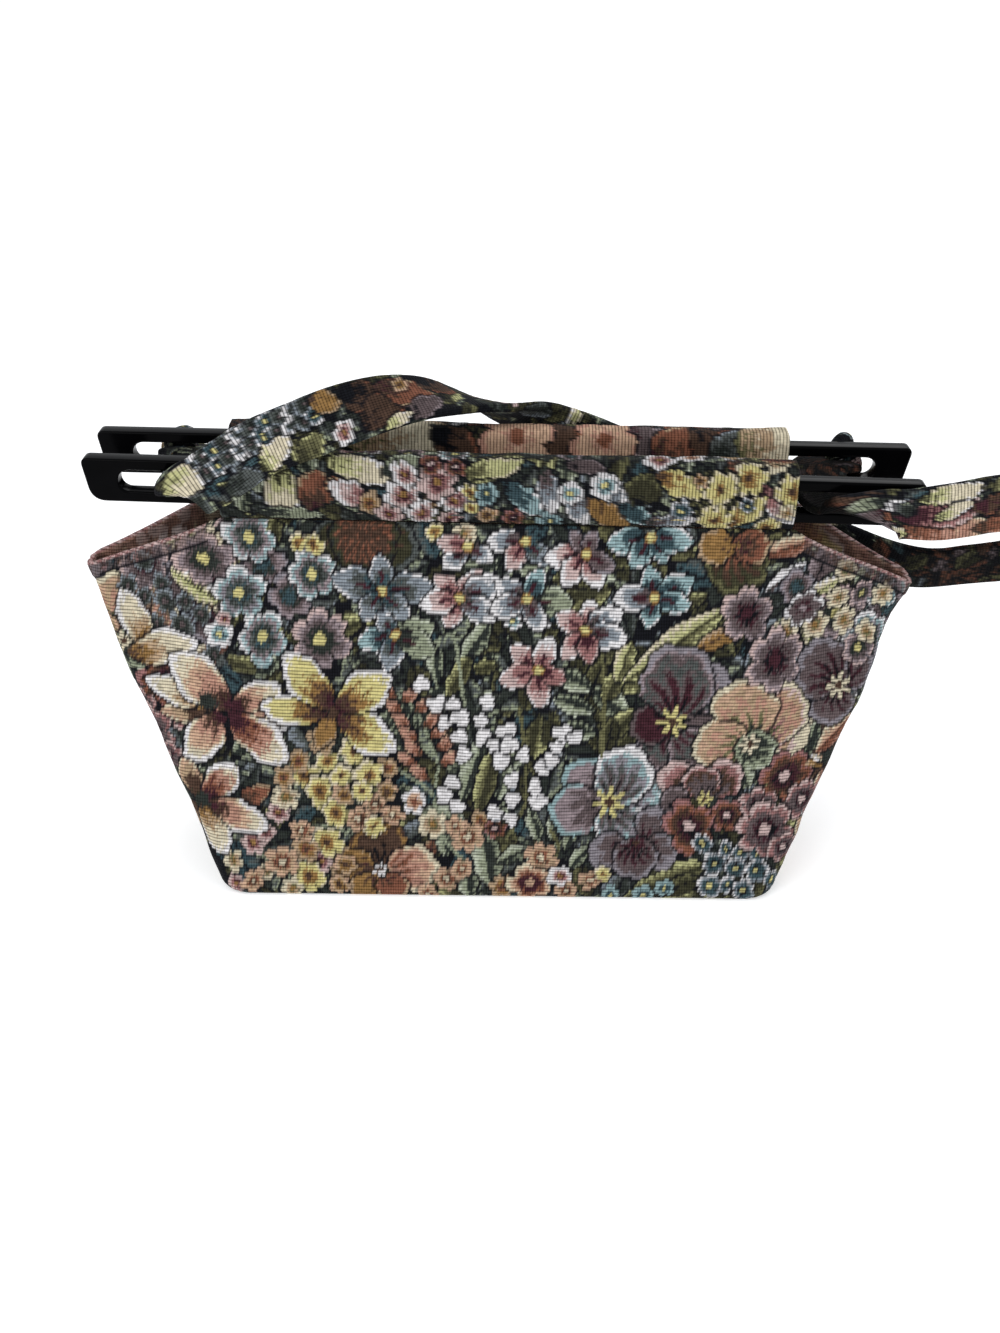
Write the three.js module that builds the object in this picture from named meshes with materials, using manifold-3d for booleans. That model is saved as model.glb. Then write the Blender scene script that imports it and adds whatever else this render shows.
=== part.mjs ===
// Shoulder bag of floral tapestry, standing on its flat base with the strap laid over the top.
// Two moulded bars in cloth sleeves close the mouth; one flat strap runs through the bars' slots.
// Millimetres, +Z up, +Y away from the front; the origin is the middle of the base.
import * as THREE from 'three';
import { mergeVertices } from 'three/addons/utils/BufferGeometryUtils.js';
import Module from 'manifold-3d';

// Driving dimensions
const wall = 2; // thickness of the tapestry
const gap = 0.3; // clearance between neighbouring pieces
const base = { halfWidth: 117.5, halfDepth: 60.5, cornerRadius: 11, edgeRadius: 3.5, turnUnder: 10 };
const mouth = { halfWidth: 174, tipDepth: 7, tipRadius: 5.4, leftCorner: 130, rightCorner: 126 };
const bar = {
  length: 340, height: 18, thickness: 8, rake: 4, topRadius: 3.5, lowRadius: 6, bevel: 1.4,
  slotInner: 114, slotOuter: 155, slotHeight: 9,
};
const sleeve = { left: -114, right: 117, height: 28, tailHeight: 3.2, tailHalf: 2.6, topRadius: 5 };
const strap = { width: 24, thickness: 3.6, corner: 1.2, stepLength: 8 };
const knot = { halfWidth: 12, halfDepth: 6.5, halfHeight: 11.5, drop: 1 };

// How each bar sits: the middle of the bar, and its turn in plan (yaw) and in elevation (dip) in radians.
// The sleeve follows the yaw, and hangs a little more level than the bar inside it.
const sides = {
  front: { out: -1, x: 0.5, y: -16, z: 168.7, yaw: -0.012, dip: 0.0163, sleeveDip: 0.005, seam: 155 },
  back: { out: 1, x: 0.9, y: 14.5, z: 171.4, yaw: 0, dip: 0.0097, sleeveDip: 0.006, seam: 157.2 },
};
const seamInset = 2.6; // the panel's outer face lies this far behind the sleeve's face

// Mesh columns of half a panel, from its middle to the side seam: the flat face, the soft corner, the
// side. The same counts give each part's share of the half loop.
const columns = { flat: 15, corner: 4, side: 3 };
const halfColumns = columns.flat + columns.corner + columns.side;
const panelColumns = 2 * halfColumns;
const shares = {
  flat: columns.flat / halfColumns,
  corner: columns.corner / halfColumns,
  side: columns.side / halfColumns,
};

// Swells and sinks of the soft wall. around: place along the half loop, from -1 at the left seam
// to 1 at the right seam; height in mm; reach along the loop and upward; push outward in mm.
const swells = {
  front: [
    { around: 0.0, height: 62, reachAround: 0.38, reachUp: 46, push: 3.2 },
    { around: -0.42, height: 128, reachAround: 0.08, reachUp: 26, push: -2.2 },
    { around: 0.46, height: 126, reachAround: 0.08, reachUp: 24, push: -2.6 },
    { around: 0.7, height: 84, reachAround: 0.16, reachUp: 15, push: 3.0 },
    { around: 0.76, height: 112, reachAround: 0.14, reachUp: 12, push: -2.6 },
    { around: -0.7, height: 40, reachAround: 0.14, reachUp: 20, push: 1.4 },
  ],
  back: [
    { around: 0.05, height: 58, reachAround: 0.4, reachUp: 46, push: 3.0 },
    { around: -0.4, height: 120, reachAround: 0.1, reachUp: 28, push: -2.4 },
    { around: 0.36, height: 112, reachAround: 0.12, reachUp: 26, push: -2.0 },
    { around: 0.7, height: 82, reachAround: 0.14, reachUp: 16, push: 2.0 },
    { around: -0.7, height: 70, reachAround: 0.14, reachUp: 20, push: 1.8 },
  ],
};

// The strap's route, from the knot behind the left slot to the knot behind the right one. Each row is
// a section: the strap's middle, and the direction of the edge that is uppermost in front on the left.
const strapRoute = [
  { place: 'left knot', at: [-130.5, 23, 170.8], edge: [-1, 0, 0] },
  { place: 'back left slot', at: [-127.5, 14.5, 171.1], edge: [-1, 0, 0] },
  { place: 'between the bars', at: [-127, 0, 170], edge: [-1, 0, 0] },
  { place: 'front left slot', at: [-127, -14.4, 169.4], edge: [-1, 0, 0] },
  { place: 'out of the slot', at: [-127, -22.5, 168.9], edge: [-1, -0.04, 0] },
  { place: 'left turn', at: [-124.5, -29, 171.4], edge: [-0.8, -0.05, 0.6] },
  { place: 'left run', at: [-114, -29.5, 177.4], edge: [-0.56, 0, 0.83] },
  { place: 'rising', at: [-97, -28, 188.5], edge: [-0.46, 0.02, 0.88] },
  { place: 'over the front sleeve', at: [-79, -23, 195], edge: [-0.36, 0.15, 0.92] },
  { place: 'upper bend', at: [-63, -14, 198.8], edge: [-0.36, 0.4, 0.84] },
  { place: 'top of the arch', at: [-42, -3, 201.6], edge: [-0.4, 0.68, 0.6] },
  { place: 'past the top', at: [-25.5, 8, 199.4], edge: [-0.45, 0.83, 0.28] },
  { place: 'over the back sleeve', at: [-9.5, 18.5, 193.5], edge: [-0.5, 0.85, -0.12] },
  { place: 'falling', at: [4, 26, 187], edge: [-0.5, 0.7, -0.5] },
  { place: 'behind the sleeve', at: [19, 29.5, 180.5], edge: [-0.42, 0.35, -0.85] },
  { place: 'back run', at: [50, 28.5, 168.5], edge: [-0.33, 0.1, -0.94] },
  { place: 'back panel', at: [95, 28, 150.5], edge: [-0.32, 0.18, -0.93] },
  { place: 'leaving the back', at: [140, 27, 131], edge: [-0.28, 0.3, -0.91] },
  { place: 'behind the corner', at: [181, 24, 119.5], edge: [-0.1, 0.42, -0.9] },
  { place: 'lower run', at: [203, 24.5, 120.6], edge: [0.05, 0.45, -0.89] },
  { place: 'lower run end', at: [228, 26, 124], edge: [0.1, 0.3, -0.95] },
  { place: 'loop, far side', at: [250, 20, 131], edge: [0.2, -0.1, -0.97] },
  { place: 'loop end', at: [260, 4, 146], edge: [0.05, -0.6, -0.8] },
  { place: 'loop, near side', at: [247, -12, 161], edge: [-0.3, -0.3, -0.9] },
  { place: 'upper run end', at: [225, -18.5, 168], edge: [-0.1, -0.1, -0.99] },
  { place: 'upper run', at: [200, -21.5, 167.6], edge: [0.05, 0, -1] },
  { place: 'right run', at: [176, -26, 165.2], edge: [0.12, 0, -0.99] },
  { place: 'right turn', at: [158, -30, 164.4], edge: [0.14, 0, -0.99] },
  { place: 'into the slot', at: [146.5, -31, 164.8], edge: [0.66, -0.06, -0.75] },
  { place: 'at the slot', at: [137, -27, 165.2], edge: [1, -0.06, -0.05] },
  { place: 'front right slot', at: [134.2, -17.6, 165], edge: [1, 0, 0] },
  { place: 'between the bars again', at: [134, 0, 166.4], edge: [1, 0, 0] },
  { place: 'back right slot', at: [134.5, 14.5, 168.5], edge: [1, 0, 0] },
  { place: 'right knot', at: [138, 23, 168.1], edge: [1, 0, 0] },
];

// Mesh rows of a panel: up its wall, and round the fold at its foot.
const panelRows = 14;
const edgeRows = 3;

const finishes = {
  tapestry: { color: 0x5a5648, roughness: 0.95, metalness: 0 },
  plastic: { color: 0x0c0d10, roughness: 0.38, metalness: 0 },
};

const wasm = await Module();
wasm.setup();

const lerp = THREE.MathUtils.lerp;

function smooth(from, to, value) {
  return THREE.MathUtils.smoothstep(value, from, to);
}

function named(name, geometry, finish) {
  const mesh = new THREE.Mesh(geometry, new THREE.MeshStandardMaterial(finishes[finish]));
  mesh.name = name;
  return mesh;
}

// A closed geometry from points and faces, with its faces turned outward.
function closedGeometry(points, faces) {
  const a = new THREE.Vector3();
  const volume = faces.reduce((sum, [i, j, k]) => (
    sum + points[i].dot(a.crossVectors(points[j], points[k]))), 0);
  const turned = volume < 0 ? faces.map(([i, j, k]) => [i, k, j]) : faces;
  const geometry = new THREE.BufferGeometry().setFromPoints(points);
  geometry.setIndex(turned.flat());
  return geometry;
}

// The triangles of a grid of points, rows by columns, numbered from a first point.
function gridFaces(rows, columns, first, indexOf = (row, column) => row * columns + column) {
  const faces = [];
  for (let row = 0; row + 1 < rows; row += 1) {
    for (let column = 0; column + 1 < columns; column += 1) {
      const [p, q, r, s] = [[row, column], [row, column + 1], [row + 1, column + 1], [row + 1, column]]
        .map(([i, j]) => first + indexOf(i, j));
      faces.push([p, q, r], [p, r, s]);
    }
  }
  return faces;
}

// Body

// Distance from the middle of the face along the half loop, for a place on it and the loop's lengths.
function loopDistance(around, flat, corner, sideLength) {
  const place = Math.abs(around);
  const part = (from, share) => THREE.MathUtils.clamp((place - from) / share, 0, 1);
  return flat * part(0, shares.flat) + corner * part(shares.flat, shares.corner)
    + sideLength * part(shares.flat + shares.corner, shares.side);
}

// Heights where the panel ends at the top: level under the sleeve, then sloping down to the corner.
function topHeight(side, around) {
  const flat = mouth.halfWidth - mouth.tipRadius;
  const reach = Math.sign(around) * loopDistance(around, flat, mouth.tipRadius, 0);
  const level = side.seam - gap - reach * side.sleeveDip;
  const corner = around < 0 ? mouth.leftCorner : mouth.rightCorner;
  const start = around < 0 ? -sleeve.left : sleeve.right;
  const along = (Math.abs(reach) - start - 3) / (mouth.halfWidth - start - 3);
  return along <= 0 ? level : lerp(level, corner, along ** 0.9);
}

// One point of the body's half loop at a height, before the cloth's swells: the loop is a rounded
// rectangle at the base that narrows to a tip at the mouth's corners, and is held out at the seam.
function loopPoint(side, around, height, inset) {
  const cornerHeight = (mouth.leftCorner + mouth.rightCorner) / 2;
  const rise = Math.min(height / cornerHeight, 1);
  const halfWidth = lerp(base.halfWidth, mouth.halfWidth, rise) - inset;
  const halfDepth = lerp(base.halfDepth, mouth.tipDepth, rise) - inset;
  const radius = Math.min(lerp(base.cornerRadius, mouth.tipRadius, rise), halfDepth);
  const flat = halfWidth - radius;
  const arc = radius * Math.PI / 2;
  const distance = loopDistance(around, flat, arc, halfDepth - radius);
  const turn = THREE.MathUtils.clamp((distance - flat) / radius, 0, Math.PI / 2);
  const x = Math.min(distance, flat) + radius * Math.sin(turn);
  const beyond = Math.max(distance - flat - arc, 0);
  let depth = halfDepth - radius + radius * Math.cos(turn) - beyond;
  const seamDepth = Math.abs(side.y) + bar.thickness / 2 + gap + wall - seamInset;
  const middle = lerp(base.halfDepth, seamDepth, height / side.seam) - inset;
  const yaw = side.out * Math.sign(around) * x * side.yaw * rise;
  depth += (middle + yaw - halfDepth) * (1 - smooth(0.6, 0.98, x / halfWidth)) * smooth(0, 0.12, rise);
  return new THREE.Vector3(Math.sign(around) * x, side.out * Math.max(depth, gap / 2), height);
}

function wallPoint(sideName, around, height, inset) {
  const side = sides[sideName];
  const point = loopPoint(side, around, height, inset);
  const step = 0.004;
  const along = loopPoint(side, Math.min(around + step, 1), height, inset)
    .sub(loopPoint(side, Math.max(around - step, -1), height, inset));
  const outward = new THREE.Vector3(along.y, -along.x, 0).normalize().multiplyScalar(-side.out);
  let push = 0;
  for (const swell of swells[sideName]) {
    const across = (around - swell.around) / swell.reachAround;
    const up = (height - swell.height) / swell.reachUp;
    push += swell.push * Math.exp(-across * across - up * up);
  }
  const held = smooth(0, 20, height) * smooth(0, 24, topHeight(side, around) - height);
  const seam = 1 - smooth(0.94, 1, Math.abs(around));
  return point.addScaledVector(outward, push * held * seam);
}

// The rows of a panel from the turned-under edge, round the bottom fold and up the wall.
function panelPoint(sideName, row, around) {
  if (row === 0) {
    return wallPoint(sideName, around, 0, base.edgeRadius + base.turnUnder);
  }
  if (row <= edgeRows + 1) {
    const angle = (row - 1) / (edgeRows + 1) * Math.PI / 2;
    const inset = base.edgeRadius * (1 - Math.sin(angle));
    return wallPoint(sideName, around, base.edgeRadius * (1 - Math.cos(angle)), inset);
  }
  const share = (row - edgeRows - 1) / panelRows;
  const height = lerp(base.edgeRadius, topHeight(sides[sideName], around), share);
  return wallPoint(sideName, around, height, 0);
}

function panelGeometry(sideName) {
  const side = sides[sideName];
  const rows = edgeRows + panelRows + 2;
  const across = panelColumns + 1;
  const outer = [];
  for (let row = 0; row < rows; row += 1) {
    for (let column = 0; column < across; column += 1) {
      // The very middle is nudged so that left and right keep their signs.
      outer.push(panelPoint(sideName, row, (column / panelColumns) * 2 - 1 || 1e-6));
    }
  }
  const skin = new THREE.BufferGeometry().setFromPoints(outer);
  skin.setIndex(gridFaces(rows, across, 0).flat());
  skin.computeVertexNormals();
  const normals = skin.getAttribute('normal');
  const inner = outer.map((point, index) => {
    const normal = new THREE.Vector3().fromBufferAttribute(normals, index);
    const moved = point.clone().addScaledVector(normal, wall * side.out);
    const row = Math.floor(index / across);
    const column = index % across;
    if (row <= 1) {
      moved.set(point.x, point.y, wall);
    }
    if (row === rows - 1) {
      moved.z = point.z;
    }
    if (column === 0 || column === across - 1) {
      moved.y = point.y;
    }
    moved.y = side.out * Math.max(side.out * moved.y, gap / 2);
    return moved;
  });
  const count = outer.length;
  const faces = gridFaces(rows, across, 0);
  faces.push(...gridFaces(rows, across, count).map(([i, j, k]) => [i, k, j]));
  const rim = (length, indexOf) => gridFaces(2, length, 0, (layer, i) => layer * count + indexOf(i));
  const flipped = (list) => list.map(([i, j, k]) => [i, k, j]);
  faces.push(...flipped(rim(across, (i) => i)));
  faces.push(...rim(across, (i) => (rows - 1) * across + i));
  faces.push(...rim(rows, (i) => i * across));
  faces.push(...flipped(rim(rows, (i) => i * across + across - 1)));
  return closedGeometry([...outer, ...inner], faces);
}

// The flat bottom fills what the panels' turned-under edges leave.
function baseGeometry() {
  const inset = base.edgeRadius + base.turnUnder + gap;
  const outline = [];
  for (const name of ['front', 'back']) {
    for (let column = 0; column <= panelColumns; column += 1) {
      const around = (column / panelColumns) * 2 - 1 || 1e-6;
      const point = wallPoint(name, -sides[name].out * around, 0, inset);
      outline.push(new THREE.Vector2(point.x, point.y));
    }
  }
  return new THREE.ExtrudeGeometry(new THREE.Shape(outline), { depth: wall, bevelEnabled: false });
}

// Bars and their sleeves

function roundedOutline(path, corners) {
  // corners: x, y and radius, in order round the outline
  corners.forEach((corner, index) => {
    const before = corners[(index + corners.length - 1) % corners.length];
    const after = corners[(index + 1) % corners.length];
    const at = new THREE.Vector2(corner.x, corner.y);
    const toward = (other) => at.clone().add(
      new THREE.Vector2(other.x, other.y).sub(at).setLength(corner.radius));
    const [start, end] = [toward(before), toward(after)];
    if (index === 0) {
      path.moveTo(start.x, start.y);
    } else {
      path.lineTo(start.x, start.y);
    }
    path.quadraticCurveTo(at.x, at.y, end.x, end.y);
  });
  path.closePath();
  return path;
}

function barGeometry() {
  const half = bar.length / 2;
  const top = bar.height / 2;
  const shape = roundedOutline(new THREE.Shape(), [
    { x: -half, y: top, radius: bar.topRadius },
    { x: -half + bar.rake, y: -top, radius: bar.lowRadius },
    { x: half - bar.rake, y: -top, radius: bar.lowRadius },
    { x: half, y: top, radius: bar.topRadius },
  ]);
  const radius = bar.slotHeight / 2;
  for (const end of [-1, 1]) {
    const slot = new THREE.Path();
    const [low, high] = [bar.slotInner + radius, bar.slotOuter - radius];
    const [left, right] = end < 0 ? [-high, -low] : [low, high];
    slot.absarc(right, 0, radius, -Math.PI / 2, Math.PI / 2, false);
    slot.absarc(left, 0, radius, Math.PI / 2, Math.PI * 1.5, false);
    slot.closePath();
    shape.holes.push(slot);
  }
  const geometry = new THREE.ExtrudeGeometry(shape, {
    depth: bar.thickness - 2 * bar.bevel,
    curveSegments: 6,
    bevelThickness: bar.bevel,
    bevelSize: bar.bevel,
    bevelOffset: -bar.bevel,
    bevelSegments: 2,
  });
  // The outline is drawn in X and Y and pushed along Z; the bar stands with its height along Z.
  geometry.translate(0, 0, bar.bevel - bar.thickness / 2);
  return geometry.rotateX(Math.PI / 2);
}

function sleeveGeometry() {
  const inner = bar.thickness / 2 + gap;
  const outer = inner + wall;
  const shape = roundedOutline(new THREE.Shape(), [
    { x: -sleeve.tailHalf, y: 0, radius: 0.8 },
    { x: sleeve.tailHalf, y: 0, radius: 0.8 },
    { x: outer, y: sleeve.tailHeight + wall, radius: 2 },
    { x: outer, y: sleeve.height, radius: sleeve.topRadius },
    { x: -outer, y: sleeve.height, radius: sleeve.topRadius },
    { x: -outer, y: sleeve.tailHeight + wall, radius: 2 },
  ]);
  shape.holes.push(roundedOutline(new THREE.Path(), [
    { x: -inner, y: sleeve.tailHeight, radius: 0.5 },
    { x: -inner, y: sleeve.height - wall, radius: sleeve.topRadius - wall },
    { x: inner, y: sleeve.height - wall, radius: sleeve.topRadius - wall },
    { x: inner, y: sleeve.tailHeight, radius: 0.5 },
  ]));
  const geometry = new THREE.ExtrudeGeometry(shape, {
    depth: sleeve.right - sleeve.left,
    curveSegments: 4,
    bevelEnabled: false,
  });
  // The section stands in Y and Z, and the tunnel runs along X.
  geometry.rotateX(Math.PI / 2).rotateZ(Math.PI / 2);
  return geometry.translate(sleeve.left, 0, 0);
}

function barAndSleeve(sideName) {
  const side = sides[sideName];
  const holder = new THREE.Group();
  holder.position.set(side.x, side.y, 0);
  holder.rotation.z = side.yaw;
  const barMesh = named(`${sideName}_bar`, barGeometry(), 'plastic');
  barMesh.position.z = side.z;
  barMesh.rotation.y = side.dip;
  const sleeveMesh = named(`${sideName}_sleeve`, sleeveGeometry(), 'tapestry');
  sleeveMesh.position.z = side.seam;
  sleeveMesh.rotation.y = side.sleeveDip;
  holder.add(barMesh, sleeveMesh);
  return holder;
}

// Strap

function strapRing(at, along, edge) {
  const across = edge.clone().addScaledVector(along, -edge.dot(along)).normalize();
  const face = new THREE.Vector3().crossVectors(along, across);
  const [halfWidth, halfThickness] = [strap.width / 2, strap.thickness / 2];
  const section = [
    [1, -1], [1, 1], [-1, 1], [-1, -1],
  ].flatMap(([u, v]) => {
    const long = [u * (halfWidth - strap.corner), v * halfThickness];
    const short = [u * halfWidth, v * (halfThickness - strap.corner)];
    return u * v < 0 ? [long, short] : [short, long];
  });
  return section.map(([u, v]) => at.clone().addScaledVector(across, u).addScaledVector(face, v));
}

function strapGeometry() {
  const path = new THREE.CatmullRomCurve3(strapRoute.map((row) => new THREE.Vector3(...row.at)));
  const edges = new THREE.CatmullRomCurve3(strapRoute.map((row) => new THREE.Vector3(...row.edge)));
  const rings = [];
  const spans = strapRoute.length - 1;
  for (let span = 0; span < spans; span += 1) {
    const length = path.getPoint(span / spans).distanceTo(path.getPoint((span + 1) / spans));
    const steps = Math.max(1, Math.round(length / strap.stepLength));
    for (let step = 0; step < steps; step += 1) {
      rings.push((span + step / steps) / spans);
    }
  }
  rings.push(1);
  const points = rings.flatMap((t) => strapRing(path.getPoint(t), path.getTangent(t), edges.getPoint(t)));
  const sideCount = points.length / rings.length;
  const wrap = (row, column) => row * sideCount + (column % sideCount);
  const faces = gridFaces(rings.length, sideCount + 1, 0, wrap);
  const last = points.length - sideCount;
  for (let i = 1; i + 1 < sideCount; i += 1) {
    faces.push([0, i + 1, i], [last, last + i, last + i + 1]);
  }
  return closedGeometry(points, faces);
}

function knotGeometry(row) {
  const geometry = new THREE.SphereGeometry(1, 16, 10);
  geometry.scale(knot.halfWidth, knot.halfDepth, knot.halfHeight);
  const depth = sides.back.y + bar.thickness / 2 + gap + knot.halfDepth;
  return geometry.translate(row.at[0], depth, row.at[2] + knot.drop);
}

function toSolid(geometry) {
  const bare = geometry.clone();
  bare.deleteAttribute('normal');
  bare.deleteAttribute('uv');
  const merged = mergeVertices(bare);
  return new wasm.Manifold(new wasm.Mesh({
    numProp: 3,
    vertProperties: new Float32Array(merged.getAttribute('position').array),
    triVerts: new Uint32Array(merged.getIndex().array),
  }));
}

function fromSolid(solid) {
  const mesh = solid.getMesh();
  const geometry = new THREE.BufferGeometry();
  geometry.setAttribute('position', new THREE.BufferAttribute(mesh.vertProperties, mesh.numProp));
  geometry.setIndex(new THREE.BufferAttribute(mesh.triVerts, 1));
  return geometry;
}

function knottedStrap() {
  const left = toSolid(knotGeometry(strapRoute[0]));
  const right = toSolid(knotGeometry(strapRoute[strapRoute.length - 1]));
  return fromSolid(toSolid(strapGeometry()).add(left).add(right));
}

const bag = new THREE.Group();
bag.add(named('front_panel', panelGeometry('front'), 'tapestry'));
bag.add(named('back_panel', panelGeometry('back'), 'tapestry'));
bag.add(named('base_panel', baseGeometry(), 'tapestry'));
bag.add(barAndSleeve('front'), barAndSleeve('back'));
bag.add(named('shoulder_strap', knottedStrap(), 'tapestry'));

export default bag;
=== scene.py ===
"""Looks of the tapestry shoulder bag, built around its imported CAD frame.

Each cloth piece is a fine grid of points. Every point takes the yarn colour that the flower chart gives
its place on the cloth, and the material adds the ribs and threads of the weave. Lengths are millimetres
until a mesh is made.
"""

import math
from collections import namedtuple
from types import SimpleNamespace as Sizes

import bpy
import numpy as np
from mathutils import Matrix, Vector


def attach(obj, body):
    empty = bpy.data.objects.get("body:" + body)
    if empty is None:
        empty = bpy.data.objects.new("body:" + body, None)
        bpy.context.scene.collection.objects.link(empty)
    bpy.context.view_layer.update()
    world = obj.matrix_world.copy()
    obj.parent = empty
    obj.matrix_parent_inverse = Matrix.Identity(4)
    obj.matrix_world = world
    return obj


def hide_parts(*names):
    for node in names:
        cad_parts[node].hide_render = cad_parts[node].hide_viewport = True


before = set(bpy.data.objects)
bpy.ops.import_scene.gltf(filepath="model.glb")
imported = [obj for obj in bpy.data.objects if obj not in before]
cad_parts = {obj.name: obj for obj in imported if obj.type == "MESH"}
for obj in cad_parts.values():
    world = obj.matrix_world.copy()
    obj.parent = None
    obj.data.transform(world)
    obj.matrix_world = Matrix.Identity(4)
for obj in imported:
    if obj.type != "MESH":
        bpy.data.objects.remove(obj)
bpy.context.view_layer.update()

# Driving dimensions, the solids' own but for the bars' bevel, the strap's corners and the knots
MM = 0.001
WALL = 2.0
GAP = 0.3
BASE = Sizes(half_width=117.5, half_depth=60.5, corner_radius=11, edge_radius=3.5, turn_under=10)
MOUTH = Sizes(half_width=174, tip_depth=7, tip_radius=5.4, left_corner=130, right_corner=126)
BAR = Sizes(
    length=340, height=18, thickness=8, rake=4, top_radius=3.5, low_radius=6, bevel=0.9,
    slot_inner=114, slot_outer=155, slot_height=9,
)
SLEEVE = Sizes(left=-114, right=117, height=28, tail_height=3.2, tail_half=2.6, top_radius=5)
SLEEVE_GIRTH = 76  # at most, for the count of points round it
SLEEVE_LIP = 0.6  # by which the turned end stands out
STRAP = Sizes(width=24, thickness=3.6, corner=1.6)
STRAP_GIRTH = 53  # about, for the count of points round it
KNOT = Sizes(half_width=9, half_depth=6.5, left_half_height=8.6, right_half_height=11.2, drop=1)
SEAM_INSET = 2.6  # of the wall's outer face, behind the sleeve's
CORNER_HEIGHT = (MOUTH.left_corner + MOUTH.right_corner) / 2

Side = namedtuple("Side", "name out x y z yaw dip sleeve_dip seam")
FRONT = Side("front", -1, 0.5, -16, 168.7, -0.012, 0.0163, 0.005, 155)
BACK = Side("back", 1, 0.9, 14.5, 171.4, 0, 0.0097, 0.006, 157.2)

# The weave
RIB = 1.36  # from one rib of weft to the next
THREAD = 0.52  # from one warp thread to the next
FLOAT = 2.4  # length of one float of yarn along its rib
RIB_SHIFT = 0.38  # of the pattern along a rib, either way
COMB_LENGTH = 9  # along a rib, before the pattern shifts again
RAGGED = 0.28  # of one yarn's band, by which its edge differs from rib to rib
STEP = 0.6  # along a rib, between the points that carry the cloth's colours; across, there is one to a rib
RELIEF = 0.3  # by which the palest yarns stand out from the darkest
HALF_LOOP = MOUTH.half_width + 4.7  # of cloth at the mouth, from the middle to a side seam
# The turned edge beside the sleeves: its depth and extra thickness, how far past a sleeve its form and its
# dye start, half the width of the dark line under it, and the depth of its pale rim, a painted highlight
# where the fold's edge catches the light
HEM = Sizes(depth=7, lift=0.6, start=3, dye_start=6, line=0.5, rim=1.3)
SEAM_GROOVE = Sizes(depth=0.9, reach=1.7)
FRONT_SLEEVE_DARKENING = 0.8  # of the light that the same yarns give back in the walls
DYE_DEPTH = 0.84  # of the light that the yarns' screen values stand for
SLANT = 1.034  # cloth length up the sloping wall for each millimetre of height

# Soft swells and sinks of the walls. around: from -1 at the left seam to 1 at the right seam; height and
# reach_up in mm; push outward in mm.
Swell = namedtuple("Swell", "around height reach_around reach_up push")
SWELLS = {
    "front": [
        Swell(0.0, 62, 0.38, 46, 3.2), Swell(-0.42, 128, 0.08, 26, -2.2), Swell(0.46, 126, 0.08, 24, -2.6),
        Swell(0.7, 84, 0.16, 15, 3.0), Swell(0.76, 112, 0.14, 12, -2.6), Swell(-0.7, 40, 0.14, 20, 1.4),
    ],
    "back": [
        Swell(0.05, 58, 0.4, 46, 3.0), Swell(-0.4, 120, 0.1, 28, -2.4), Swell(0.36, 112, 0.12, 26, -2.0),
        Swell(0.7, 82, 0.14, 16, 2.0), Swell(-0.7, 70, 0.14, 20, 1.8),
    ],
}
# Finer unevenness: wavelength and height of each band of waves, and the small folds along the sleeves' seams
WALL_RIPPLES = [(70, 0.9), (32, 0.45), (15, 0.16)]
SLEEVE_RIPPLES = [(46, 0.5), (17, 0.22)]
STRAP_RIPPLES = [(26, 0.16), (60, 0.2)]
PUCKERS = Sizes(height=0.3, wave=8.5, wander=19, reach=9)
GATHERS = Sizes(height=0.35, wave=9, wander=13, reach=7)
SHARES = Sizes(flat=15 / 22, corner=4 / 22, side=3 / 22)  # of the half loop that around runs along

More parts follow.
